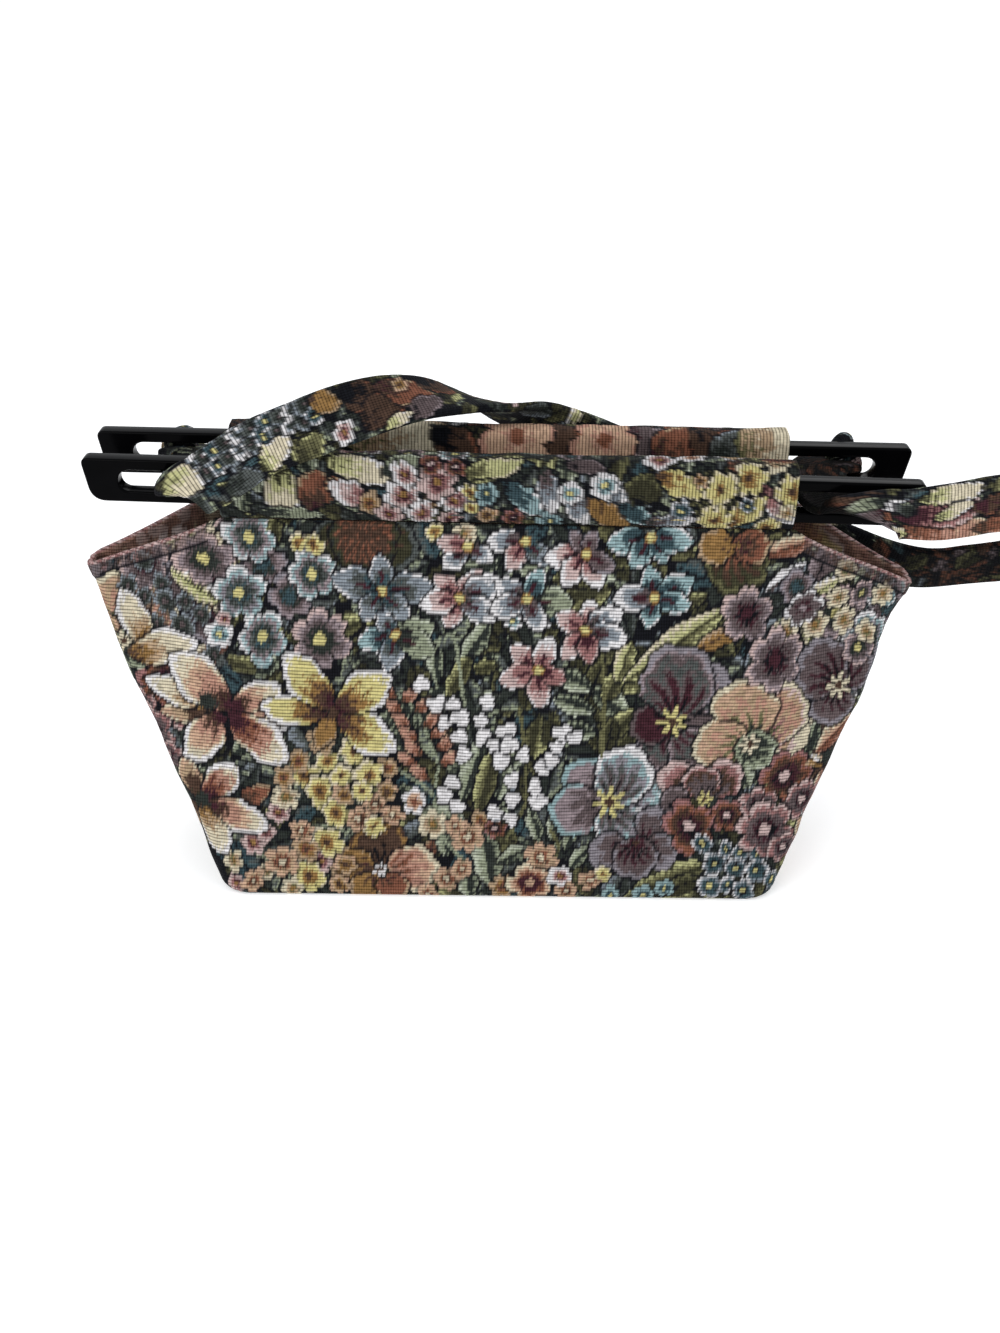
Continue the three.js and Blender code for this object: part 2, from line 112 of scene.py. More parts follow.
# The strap's route from the knot behind the left slot to the knot behind the right one: the strap's
# middle, and the direction of the edge that is uppermost in front on the left.
Stop = namedtuple("Stop", "place at edge")
STRAP_ROUTE = [
    Stop("left knot", (-136.5, 23, 170), (-1, 0, 0)),
    Stop("back left slot", (-127.5, 14.5, 171.1), (-1, 0, 0)),
    Stop("between the bars", (-127, 0, 170), (-1, 0, 0)),
    Stop("front left slot", (-127, -14.4, 169.4), (-1, 0, 0)),
    Stop("out of the slot", (-127, -22.5, 168.9), (-1, -0.04, 0)),
    Stop("left turn", (-124.5, -29, 171.4), (-0.8, -0.05, 0.6)),
    Stop("left run", (-114, -29.5, 177.4), (-0.56, 0, 0.83)),
    Stop("rising", (-97, -28, 188.5), (-0.46, 0.02, 0.88)),
    Stop("over the front sleeve", (-79, -23, 195), (-0.36, 0.15, 0.92)),
    Stop("upper bend", (-63, -14, 198.8), (-0.36, 0.4, 0.84)),
    Stop("top of the arch", (-42, -3, 201.6), (-0.4, 0.68, 0.6)),
    Stop("past the top", (-25.5, 8, 199.4), (-0.45, 0.83, 0.28)),
    Stop("over the back sleeve", (-9.5, 18.5, 193.5), (-0.5, 0.85, -0.12)),
    Stop("falling", (4, 26, 187), (-0.5, 0.7, -0.5)),
    Stop("behind the sleeve", (19, 29.5, 180.5), (-0.42, 0.35, -0.85)),
    Stop("back run", (50, 28.5, 168.5), (-0.33, 0.1, -0.94)),
    Stop("back panel", (95, 28, 150.5), (-0.32, 0.18, -0.93)),
    Stop("leaving the back", (140, 27, 131), (-0.28, 0.3, -0.91)),
    Stop("behind the corner", (181, 24, 119.5), (-0.1, 0.42, -0.9)),
    Stop("lower run", (203, 24.5, 120.6), (0.05, 0.45, -0.89)),
    Stop("lower run end", (228, 26, 124), (0.1, 0.3, -0.95)),
    Stop("loop, far side", (250, 20, 131), (0.2, -0.1, -0.97)),
    Stop("loop end", (260, 4, 146), (0.05, -0.6, -0.8)),
    Stop("loop, near side", (247, -12, 161), (-0.3, -0.3, -0.9)),
    Stop("upper run end", (225, -18.5, 168), (-0.1, -0.1, -0.99)),
    Stop("upper run", (200, -21.5, 167.6), (0.05, 0, -1)),
    Stop("right run", (176, -26, 165), (0.12, 0.05, -0.99)),
    Stop("right turn", (161, -26.4, 164.2), (0.4, 0.26, -0.86)),
    Stop("into the slot", (146.5, -26, 164.2), (0.89, 0.04, -0.45)),
    Stop("at the slot", (139.8, -21.6, 164.4), (1, 0, -0.1)),
    Stop("front right slot", (133, -15.5, 165.1), (1, 0, 0)),
    Stop("between the bars again", (131.5, 0, 166.4), (1, 0, 0)),
    Stop("back right slot", (133, 14.5, 168.5), (1, 0, 0)),
    Stop("right knot", (143.5, 23, 168.1), (1, 0, 0)),
]
STRAP_START = 3 * RIB  # of strap inside the left knot, before the place that its flowers count from
# The fold by the right slot, whose crease lies aslant: its place and reach along the strap in mm, and the
# most that the strap's width is stretched in it
FOLD = Sizes(place=626, reach=12, stretch=1.25)

# Yarns, as screen values
YARNS = {
    "ground": (24, 25, 30), "dark_green": (51, 56, 52), "dark_olive": (65, 64, 47), "olive": (111, 109, 77),
    "sage": (150, 157, 133), "pale_sage": (190, 196, 176), "white": (230, 227, 228), "cream": (219, 208, 181),
    "yellow": (210, 199, 135), "lime": (190, 189, 137), "gold": (152, 117, 71), "tan": (181, 155, 126),
    "peach": (201, 166, 140), "salmon": (186, 141, 123), "rose": (160, 115, 113), "pink": (203, 178, 174),
    "rust": (137, 89, 70), "burgundy": (72, 40, 48), "mauve": (152, 137, 141), "mauve_brown": (102, 89, 90),
    "lavender": (143, 137, 144), "blue_grey": (141, 149, 157), "aqua": (150, 176, 179), "teal": (64, 85, 91),
    "brown": (84, 64, 53), "grey_green": (89, 94, 92),
}

# Shades that a petal or leaf runs through, from its root or heart to its rim
RAMPS = {
    "lily_peach": "burgundy brown salmon peach cream white white",
    "lily_rust": "burgundy burgundy rust salmon cream white white",
    "lily_cream": "brown gold tan cream cream white white",
    "lily_tan": "dark_olive brown brown tan peach cream",
    "lily_yellow": "burgundy brown gold yellow yellow white white",
    "white": "dark_green mauve_brown blue_grey white white",
    "white_rose": "burgundy rose pink white white",
    "pink": "burgundy rose rose pink pink white",
    "rose": "burgundy burgundy rose rose pink",
    "blue": "ground teal grey_green blue_grey blue_grey white",
    "aqua": "ground teal teal aqua aqua white",
    "mauve": "burgundy mauve_brown mauve_brown mauve lavender",
    "sage": "dark_green dark_green sage sage pale_sage",
    "olive": "dark_olive dark_olive olive olive lime",
    "lime": "dark_olive olive lime lime cream",
    "cream": "dark_olive lime cream cream white",
    "yellow": "brown gold yellow yellow cream",
    "gold": "brown gold gold tan",
    "rust": "burgundy brown rust rust tan",
    "fern": "brown rust salmon salmon peach",
    "peach": "brown rust salmon peach cream",
    "brown": "ground brown brown rust",
    "teal": "ground teal teal grey_green",
    "dark_green": "ground dark_green dark_green grey_green sage",
    "dark_olive": "ground dark_olive dark_olive olive",
    "grey_green": "ground dark_green grey_green grey_green blue_grey",
    "dark_mauve": "ground mauve_brown mauve_brown mauve",
    "grey_pansy": "ground burgundy burgundy mauve_brown grey_green mauve_brown mauve lavender",
    "wine_pansy": "ground burgundy burgundy mauve_brown",
    "peach_pansy": "dark_green olive tan salmon tan peach tan cream",
    "salmon_pansy": "dark_green olive rose tan salmon tan pink cream",
    "aqua_pansy": "ground mauve_brown grey_green lavender aqua white white",
    "mauve_pansy": "ground mauve_brown mauve_brown mauve mauve aqua",
    "lavender_pansy": "ground burgundy mauve_brown mauve_brown lavender lavender",
    "brown_pansy": "ground brown brown gold brown",
    "gold_pansy": "burgundy brown gold gold tan",
    "rose_rim": "ground mauve_brown mauve_brown brown rose pink",
    "bowl": "rust brown dark_olive olive dark_olive",
    "poppy": "brown brown rust brown dark_olive dark_olive dark_green grey_green",
    "arch": "ground ground brown brown rust",
    "ribbed_cream": "olive tan cream cream tan",
}

# Round flowers: the yarn of the eye, and the shades from the eye to the rim
KINDS = {
    "mauve": ("yellow", "dark_green dark_green mauve_brown mauve pink"),
    "mauve_dark": ("teal", "teal dark_green mauve_brown mauve lavender"),
    "aqua_mauve": ("yellow", "teal dark_green grey_green mauve aqua white"),
    "aqua_grey": ("yellow", "teal dark_green grey_green lavender aqua white"),
    "mauve_wine": ("burgundy", "ground burgundy mauve_brown mauve_brown mauve pink"),
    "white_rim": ("mauve", "burgundy mauve_brown mauve_brown white"),
    "grey": ("mauve_brown", "dark_green dark_green grey_green blue_grey"),
    "white": ("yellow", "teal aqua white white"),
    "pink": ("gold", "burgundy rose pink pink"),
    "pink_white": ("gold", "burgundy rose pink white white"),
    "yellow": ("brown", "gold yellow yellow cream"),
    "lemon": ("brown", "gold gold yellow yellow cream"),
    "tan": ("brown", "rust gold tan tan"),
    "cream": ("gold", "olive tan cream cream"),
    "peach": ("cream", "brown rust tan peach peach"),
    "orange": ("brown", "brown gold tan peach"),
    "white_rust": ("rust", "rust peach white white"),
    "rust": ("pink", "ground burgundy brown rust rose"),
    "rust_mauve": ("pink", "ground burgundy mauve_brown mauve_brown rose pink"),
    "blue": ("yellow", "ground teal teal blue_grey white"),
    "aqua": ("yellow", "teal teal aqua aqua"),
    "speckled": ("dark_green", "dark_green blue_grey white white"),
    "wide_peach": ("rust", "salmon peach peach peach salmon"),
    "wine_peach": ("peach", "burgundy burgundy rust peach cream"),
}
# Shades of the leaves under the flowers; darker ones are painted shade on the strap and brown on the back
# sleeve
UNDERGROWTH = "dark_green dark_olive grey_green dark_green olive dark_olive dark_green teal sage".split()
BROWN_AND_SHADE_LEAVES = "brown arch dark_olive arch arch dark_mauve".split()

# The flower chart of the front wall, by the photograph's pixels.
# Round flowers by kind: column, row and radius of each.
BLOOMS = {
    "mauve": [(203, 564, 30), (321, 636, 29), (865, 600, 13), (862, 654, 17)],
    "mauve_dark": [(262, 567, 24), (290, 597, 22), (796, 584, 18), (848, 548, 17)],
    "aqua_mauve": [(250, 540, 28), (312, 575, 24), (263, 637, 26)],
    "aqua_grey": [(239, 596, 27)],
    "grey": [
        (138, 575, 12), (159, 597, 12), (163, 613, 13), (181, 634, 14), (200, 620, 10), (154, 636, 9),
        (214, 659, 11), (122, 604, 11), (140, 612, 10), (184, 610, 9), (872, 562, 16), (893, 585, 11),
    ],
    "white": [(219, 637, 14), (512, 615, 10), (539, 614, 10)],
    "pink": [(224, 622, 8), (282, 810, 12), (257, 843, 13), (269, 832, 10), (240, 885, 10), (324, 860, 12)],
    "lemon": [
        (314, 546, 12), (298, 544, 9), (434, 532, 9), (330, 756, 13), (308, 771, 16), (323, 786, 18),
        (339, 808, 16), (330, 839, 17), (312, 876, 18),
    ],
    "cream": [
        (464, 533, 11), (289, 793, 14), (435, 818, 15), (237, 862, 12), (270, 872, 9), (296, 889, 11),
        (838, 600, 12), (888, 604, 12), (786, 627, 13), (815, 624, 13), (846, 624, 14), (871, 640, 12),
        (846, 572, 12),
    ],
    "tan": [
        (323, 736, 15), (301, 756, 13), (287, 773, 11), (390, 762, 12), (309, 848, 14), (482, 815, 12),
        (505, 885, 13),
    ],
    "orange": [(389, 786, 12), (347, 790, 12), (343, 884, 11), (349, 862, 12)],
    "peach": [
        (378, 800, 11), (305, 828, 12), (361, 814, 12), (395, 811, 12), (285, 861, 17), (257, 882, 13),
        (470, 832, 16), (458, 820, 11), (449, 877, 13), (464, 867, 12), (431, 894, 12), (543, 851, 17),
        (568, 888, 12), (592, 876, 13),
    ],
    "yellow": [
        (356, 745, 15), (344, 770, 13), (371, 769, 16), (365, 786, 12), (377, 822, 11), (605, 868, 9),
    ],
    "white_rust": [(416, 795, 14)],
    "rust": [(497, 823, 11), (727, 809, 17), (690, 820, 29), (785, 772, 28)],
    "wine_peach": [(532, 880, 22)],
    "pink_white": [(562, 872, 13)],
    "aqua": [(613, 893, 11), (645, 892, 11), (666, 884, 10)],
    "blue": [
        (703, 837, 11), (715, 857, 13), (736, 863, 12), (711, 881, 13), (729, 880, 10), (745, 886, 12),
        (758, 867, 12), (760, 850, 11), (775, 878, 12), (727, 843, 9), (742, 847, 9),
    ],
    "rust_mauve": [(759, 798, 20), (804, 798, 21), (765, 825, 28), (785, 845, 17)],
    "mauve_wine": [(744, 607, 27), (773, 654, 31)],
    "white_rim": [(804, 606, 19)],
}

# Flowers of separate pointed petals: the heart's column and row, and each petal's tip and shades
STARS = [
    (383, 589, [
        (332, 577, "blue"), (432, 583, "blue"), (362, 618, "blue"), (408, 617, "blue"), (379, 554, "blue"),
    ]),
    (396, 632, [
        (358, 641, "aqua"), (388, 667, "blue"), (434, 622, "sage"), (436, 648, "sage"), (378, 610, "blue"),
    ]),
    (467, 545, [(443, 566, "white"), (492, 558, "white"), (436, 541, "pink")]),
    (459, 594, [
        (434, 572, "pink"), (480, 567, "pink"), (446, 624, "pink"), (500, 576, "white"),
        (496, 614, "white"), (420, 603, "white_rose"),
    ]),
    (524, 540, [(486, 540, "white"), (506, 568, "pink"), (548, 562, "blue")]),
    (526, 594, [
        (494, 578, "white"), (490, 607, "white"), (571, 599, "sage"), (541, 624, "white"),
        (540, 566, "aqua"),
    ]),
    (584, 551, [
        (543, 556, "white_rose"), (561, 581, "white_rose"), (598, 584, "white_rose"), (569, 529, "mauve"),
        (592, 528, "mauve"), (612, 566, "mauve"),
    ]),
    (584, 624, [
        (591, 594, "white_rose"), (620, 604, "white"), (625, 632, "white"), (555, 608, "pink"),
        (562, 651, "pink"), (590, 655, "rose"),
    ]),
    (538, 663, [
        (511, 638, "pink"), (550, 629, "white_rose"), (499, 674, "pink"), (540, 700, "pink"),
        (566, 672, "rose"),
    ]),
    (648, 534, [(604, 542, "aqua"), (629, 564, "aqua"), (664, 558, "aqua"), (689, 537, "aqua")]),
    (653, 592, [
        (645, 561, "aqua"), (690, 572, "aqua"), (688, 600, "aqua"), (645, 620, "aqua"), (611, 592, "white"),
    ]),
]

# Long petals: root, tip, half width and shades
LILIES = [
    # cream and rust lily on the left
    ((148, 660), (114, 608), 15, "lily_cream"), ((124, 668), (198, 650), 18, "lily_cream"),
    ((226, 722), (158, 722), 10, "lily_tan"), ((206, 714), (143, 690), 13, "lily_cream"),
    ((222, 716), (188, 771), 18, "lily_peach"), ((236, 711), (292, 722), 11, "lily_peach"),
    ((229, 714), (291, 757), 21, "lily_rust"), ((231, 708), (284, 683), 14, "lily_peach"),
    ((232, 712), (168, 664), 24, "lily_peach"),
    # rust lily below it
    ((201, 806), (187, 836), 11, "lily_tan"), ((201, 803), (182, 766), 11, "lily_tan"),
    ((205, 803), (238, 770), 16, "lily_rust"), ((203, 806), (230, 857), 16, "lily_cream"),
    ((240, 806), (274, 785), 9, "rust"), ((210, 806), (272, 828), 15, "lily_peach"),
    # yellow lily
    ((336, 708), (320, 744), 10, "gold"), ((330, 709), (262, 703), 15, "lily_yellow"),
    ((339, 709), (398, 744), 19, "lily_yellow"), ((335, 704), (285, 652), 19, "lily_yellow"),
    ((337, 704), (392, 671), 20, "lily_yellow"),
]
# Dark hearts of the lilies: column, row, radius and yarn
THROATS = [
    (208, 706, 12, "dark_green"), (238, 707, 8, "burgundy"), (222, 724, 7, "burgundy"),
    (204, 805, 10, "dark_green"), (336, 707, 7, "brown"),
]
# Leaves by shades: root, tip and half width of each
LEAVES = {
    "cream": [((168, 578), (221, 606), 13), ((160, 552), (200, 529), 10)],
    "dark_green": [((232, 768), (290, 778), 12), ((600, 746), (564, 744), 10)],
    "grey_green": [
        ((240, 790), (262, 764), 10), ((736, 792), (762, 782), 8), ((870, 586), (896, 610), 8),
        ((800, 690), (826, 712), 12),
    ],
    "sage": [
        ((205, 772), (252, 776), 4), ((255, 675), (282, 655), 8), ((461, 657), (490, 616), 10),
        ((437, 678), (436, 642), 8), ((462, 796), (489, 720), 11), ((592, 680), (554, 664), 10),
        ((594, 702), (554, 690), 10), ((596, 724), (558, 718), 10), ((541, 834), (531, 798), 7),
        ((553, 830), (558, 794), 7), ((565, 842), (580, 804), 7), ((571, 862), (590, 836), 8),
        ((494, 886), (486, 828), 15), ((449, 854), (444, 815), 10), ((474, 900), (468, 864), 10),
        ((500, 858), (530, 842), 8), ((741, 752), (747, 780), 9), ((806, 756), (818, 722), 11),
        ((856, 590), (880, 566), 9),
    ],
    "olive": [
        ((225, 660), (260, 668), 9), ((448, 690), (470, 650), 9), ((478, 810), (496, 736), 10),
        ((603, 692), (618, 662), 9), ((604, 732), (635, 699), 10), ((660, 606), (704, 588), 8),
        ((626, 896), (708, 856), 14), ((636, 874), (682, 838), 9), ((540, 706), (534, 748), 11),
    ],
    "dark_olive": [
        ((603, 752), (612, 708), 9), ((660, 890), (704, 872), 9), ((366, 660), (352, 700), 12),
        ((414, 660), (424, 690), 12), ((555, 700), (550, 740), 8),
    ],
    "lime": [((616, 672), (629, 633), 10), ((622, 672), (724, 601), 14), ((690, 545), (716, 534), 8)],
    "gold": [((694, 640), (739, 622), 9)],
    "teal": [((672, 560), (712, 576), 12), ((297, 819), (319, 802), 8)],
    "peach": [((818, 752), (856, 718), 11), ((752, 552), (818, 532), 10)],
    "white": [((776, 758), (784, 736), 7), ((762, 587), (806, 560), 9)],
    "rust": [((420, 872), (436, 836), 9)],
    "dark_mauve": [((812, 580), (832, 540), 14)],
}

# Pansies: the hub, the eye's yarn and radius, and overlapping round petals by column, row, radius and shades
PANSIES = [
    ((364, 534), "brown", 5, [(336, 546, 24, "poppy"), (392, 546, 24, "poppy"), (364, 540, 32, "poppy")]),
    ((732, 540), "gold", 4, [(734, 560, 30, "bowl"), (712, 542, 17, "gold"), (748, 541, 17, "rust")]),
    ((672, 712), "yellow", 16, [
        (700, 716, 28, "dark_mauve"), (660, 744, 24, "grey_pansy"), (692, 742, 24, "grey_pansy"),
        (650, 716, 20, "wine_pansy"), (706, 678, 24, "grey_pansy"), (676, 672, 36, "grey_pansy"),
    ]),
    ((748, 735), "cream", 12, [
        (790, 732, 20, "salmon_pansy"), (776, 706, 32, "salmon_pansy"), (742, 702, 32, "peach_pansy"),
        (720, 736, 27, "peach_pansy"), (754, 742, 20, "sage"),
    ]),
    ((610, 793), "yellow", 17, [
        (586, 772, 24, "mauve_pansy"), (577, 800, 26, "mauve_pansy"), (644, 795, 26, "aqua_pansy"),
        (622, 818, 26, "aqua_pansy"), (624, 766, 29, "aqua_pansy"),
    ]),
    ((637, 836), "burgundy", 9, [
        (654, 816, 18, "lavender_pansy"), (610, 844, 20, "lavender_pansy"),
        (660, 846, 19, "lavender_pansy"), (636, 852, 22, "lavender_pansy"),
    ]),
    ((705, 792), "yellow", 9, [
        (678, 772, 20, "rose_rim"), (722, 770, 20, "rose_rim"), (702, 774, 18, "rose_rim"),
    ]),
    ((680, 803), "yellow", 6, [(676, 794, 14, "dark_mauve")]),
    ((385, 867), "white", 9, [
        (382, 842, 28, "brown_pansy"), (356, 866, 22, "gold_pansy"), (416, 866, 25, "peach"),
        (372, 890, 19, "gold_pansy"), (396, 888, 16, "rust"),
    ]),
    ((839, 687), "cream", 14, [
        (856, 670, 22, "lavender_pansy"), (832, 704, 22, "lavender_pansy"),
        (822, 668, 29, "lavender_pansy"),
    ]),
]

# Lily of the valley: bells by pixel, and the fern beside them by its leaflets' middles on either side
BELL_RADIUS = 8.5
BELLS = [
    (422, 678), (438, 697), (454, 697), (488, 694), (446, 715), (462, 710), (482, 713), (461, 728),
    (484, 727), (465, 745), (496, 736), (507, 722), (502, 750), (524, 745), (454, 774), (446, 788),
    (459, 799), (513, 770), (514, 790), (543, 757), (536, 776), (539, 791), (497, 806), (513, 812),
    (557, 738), (563, 723), (575, 727), (510, 735), (552, 750),
]
FERN_LEFT = [(390, 686), (396, 701), (404, 714), (412, 728), (416, 741), (410, 753), (423, 766)]
FERN_RIGHT = [(411, 688), (424, 698), (433, 712), (440, 724), (447, 735), (450, 750)]
# Stems: yarn and bends
STEMS = [
    ("sage", [(454, 629), (462, 675), (469, 719), (464, 760)]),
    ("olive", [(520, 700), (526, 750), (528, 792), (510, 830)]),
    ("sage", [(400, 762), (425, 778), (438, 791), (437, 808), (450, 840), (470, 862)]),
    ("sage", [(404, 684), (419, 706), (430, 730), (440, 755), (438, 778)]),
    ("olive", [(601, 648), (604, 700), (602, 748)]),
    ("olive", [(556, 860), (560, 836), (552, 820)]),
]

# The front sleeve's chart, by the photograph's pixels
SLEEVE_PETALS = [
    ((282, 458), (281, 513), 20, "cream"), ((248, 508), (320, 513), 8, "sage"),
    ((322, 450), (392, 473), 15, "cream"), ((380, 466), (416, 448), 12, "sage"),
    ((308, 506), (316, 462), 18, "rust"), ((350, 480), (322, 476), 8, "rust"),
    ((366, 498), (328, 476), 13, "white_rose"), ((454, 467), (520, 454), 10, "lime"),
    ((540, 457), (549, 510), 11, "white"), ((500, 472), (540, 510), 12, "aqua"),
    ((562, 474), (583, 526), 11, "white"), ((588, 462), (628, 506), 13, "white"),
    ((582, 492), (628, 531), 13, "gold"), ((614, 496), (654, 527), 10, "aqua"),
    ((640, 521), (696, 516), 9, "white"), ((630, 500), (646, 466), 18, "dark_olive"),
    ((650, 465), (700, 489), 13, "yellow"), ((752, 476), (790, 522), 11, "white_rose"),
    ((720, 524), (760, 490), 13, "yellow"), ((560, 455), (600, 462), 8, "dark_mauve"),
]
SLEEVE_BLOOMS = {
    "tan": [(367, 497, 14), (427, 495, 9)],
    "pink_white": [(400, 488, 21), (402, 466, 17), (452, 494, 18), (419, 509, 18)],
    "pink": [(434, 474, 21), (386, 511, 16), (446, 517, 14)],
    "rust": [(428, 456, 12), (452, 460, 12), (510, 514, 12)],
    "lemon": [(467, 485, 10), (468, 503, 9), (742, 470, 20), (765, 526, 16)],
    "aqua": [(484, 488, 13), (547, 520, 16)],
    "orange": [(484, 512, 13), (694, 473, 9)],
    "white": [(566, 486, 14), (600, 478, 16)],
    "blue": [(677, 505, 13), (742, 498, 9)],
    "yellow": [(715, 482, 22), (712, 516, 19), (786, 484, 20)],
    "cream": [(782, 507, 10)],
}

# The back sleeve and the strap, by millimetres along and across the piece
BACK_SLEEVE_PETALS = [
    ((-100, 34), (-88, 2), 12, "cream"), ((-68, 25), (-22, 29), 15, "ribbed_cream"),
    ((-30, 32), (-12, 14), 8, "arch"), ((50, 34), (68, 18), 9, "mauve"), ((60, 16), (80, 33), 9, "rust"),
    ((77, 35), (93, 13), 8, "brown"), ((84, 16), (101, 31), 7, "grey_green"),
    ((14, 36), (32, 15), 9, "brown"), ((95, 26), (126, 27), 19, "ribbed_cream"),
]
BACK_SLEEVE_BLOOMS = {"wide_peach": [(5, 27, 19), (41, 26, 15)]}
STRAP_PETALS = [
    # at the fold and up the left run
    ((11, 50), (-2, 60), 7, "cream"), ((-4, 48), (-11, 60), 6, "dark_green"),
    ((-9, 84), (0, 100), 5, "cream"), ((-12, 100), (-4, 112), 5, "olive"),
    ((-6, 66), (-10, 84), 5, "grey_green"), ((10, 112), (4, 124), 5, "gold"),
    # over the arch
    ((10, 124), (-3, 144), 7, "arch"), ((-8, 128), (2, 152), 7, "brown"), ((8, 140), (-4, 164), 7, "rust"),
    ((-10, 146), (-4, 166), 5, "dark_mauve"), ((10, 158), (2, 176), 6, "arch"),
    ((-11, 138), (-9, 150), 3, "cream"),
    # along the right run
    ((7, 616), (9, 566), 6, "peach"), ((9, 580), (6, 536), 6, "peach"), ((0, 612), (-1, 572), 6, "rose"),
    ((-1, 582), (1, 540), 6, "rust"), ((-8, 604), (-9, 574), 4, "cream"), ((-9, 576), (-7, 542), 4, "lime"),
    ((2, 596), (-4, 580), 3, "cream"), ((3, 570), (-3, 554), 3, "peach"),
    # at the right fold
    ((-10, 612), (-3, 624), 3, "sage"), ((-4, 615), (4, 626), 3, "mauve"), ((3, 612), (9, 622), 3, "mauve"),
    ((-8, 604), (-4, 614), 3, "white"), ((9, 606), (6, 616), 3, "cream"),
    ((-2, 603), (-6, 611), 3, "dark_green"),
]
STRAP_BLOOMS = {
    "pink_white": [(-7, 121, 6)],
    "orange": [(6, 151, 4)],
    "mauve": [(4, 190, 8), (-6, 198, 7)],
    "mauve_wine": [(7, 208, 7)],
    "grey": [(-5, 216, 7)],
}
# Small pale blossoms in rows along the left run, by millimetres along the strap
BLOSSOMS = Sizes(
    first=63, last=111, spacing=5.2, radius=4.6, lanes=(9, 3.5), kinds=("speckled", "grey", "blue", "grey"),
)

# Leaves and flowers strewn by seeded chance: how many, between which bounds on the cloth (left, low, right
# and high, in mm), and how large
WALL_LEAVES = (1300, (-195, -15, 195, 170), 1)
BOTTOM_LEAVES = (400, (-110, 0, 110, 120), 1)
BOTTOM_FLOWERS = (220, (-110, 0, 110, 120), 1)
SLEEVE_LEAVES = (420, (-115, -5, 130, 80), 1)
FRONT_SLEEVE_FAR_FLOWERS = (110, (-110, 32, 125, 76), 0.9)
BACK_SLEEVE_NEAR_FLOWERS = (120, (-110, 0, 125, 14), 0.8)
BACK_SLEEVE_FAR_FLOWERS = (120, (-110, 34, 125, 76), 0.9)
BACK_SLEEVE_TOP_LEAVES = (160, (-110, 12, 125, 38), 1)
STRAP_ROUND = 28  # to either side, round the strap from the middle of its face
STRAP_LEAF = 0.8  # size of each leaf on the strap
STRAP_LEAVES = 640  # all along the strap
# The strap's leaves behind the bag and from the right slot on are darker: painted shade
STRAP_BACK_LEAVES = (200, (-STRAP_ROUND, 375, STRAP_ROUND, 535), STRAP_LEAF)
STRAP_SLOT_LEAVES = 90  # from the right slot on
STRAP_FLOWERS = [(60, (-13, 215, 13, 375), 0.75), (10, (-13, 0, 13, 46), 0.75)]
KNOT_STREWN = (40, (-14, 0, 14, 120), 0.6)

# Shade on the strap behind the bag and in the right slot, and how much of it lifts between the bars: depth
# of each, and where it comes and goes in mm along the strap
SHADE = Sizes(
    behind=0.6, behind_start=(360, 385), behind_end=(540, 515), slot=0.97, slot_start=(620, 624),
    between=0.4, between_start=(638, 652),
)

# Starts of the seeded draws
SEEDS = Sizes(
    wall=40, wall_ripple=11, bottom=7, sleeve=60, sleeve_ripple=23, strap=90, strap_ripple=5, left_knot=71,
    right_knot=72,
)

# The photograph's frame against the cloth: pixel column and row of the front wall's foot, and mm per pixel
PHOTO_MIDDLE = 500
PHOTO_FOOT = 897
PHOTO_HEM = 530
HEM_SCALE = 0.41
FOOT_SCALE = 0.428
RISE_SCALE = 0.4155
PIXEL = 0.425
BLOOM_GROWTH = 1.1  # of a round flower's charted radius
SLEEVE_SCALE = 0.4035
SLEEVE_RISE = 0.4
SLEEVE_SEAM = (521, 240, 0.02)  # the seam's pixel row, at this column, and its fall per pixel to the right


def mix(low, high, share):
    return low + (high - low) * share


def smooth(start, end, value):
    share = np.clip((value - start) / (end - start), 0, 1)
    return share * share * (3 - 2 * share)


def linear(screen):
    """Linear light from screen values of 0 to 255."""
    value = np.asarray(screen, float) / 255
    return np.where(value < 0.04045, value / 12.92, ((value + 0.055) / 1.055) ** 2.4)


def wall_place(px, py):
    """The place on the front wall's cloth that a pixel of the photograph shows."""
    scale = mix(HEM_SCALE, FOOT_SCALE, (py - PHOTO_HEM) / (PHOTO_FOOT - PHOTO_HEM))
    return (px - PHOTO_MIDDLE) * scale, (PHOTO_FOOT - py) * RISE_SCALE * SLANT


def sleeve_place(px, py):
    """The place on the front sleeve's cloth that a pixel of the photograph shows."""
    row, column, fall = SLEEVE_SEAM
    return (px - PHOTO_MIDDLE) * SLEEVE_SCALE, (row + (px - column) * fall - py) * SLEEVE_RISE


def as_is(along, across):
    return along, across


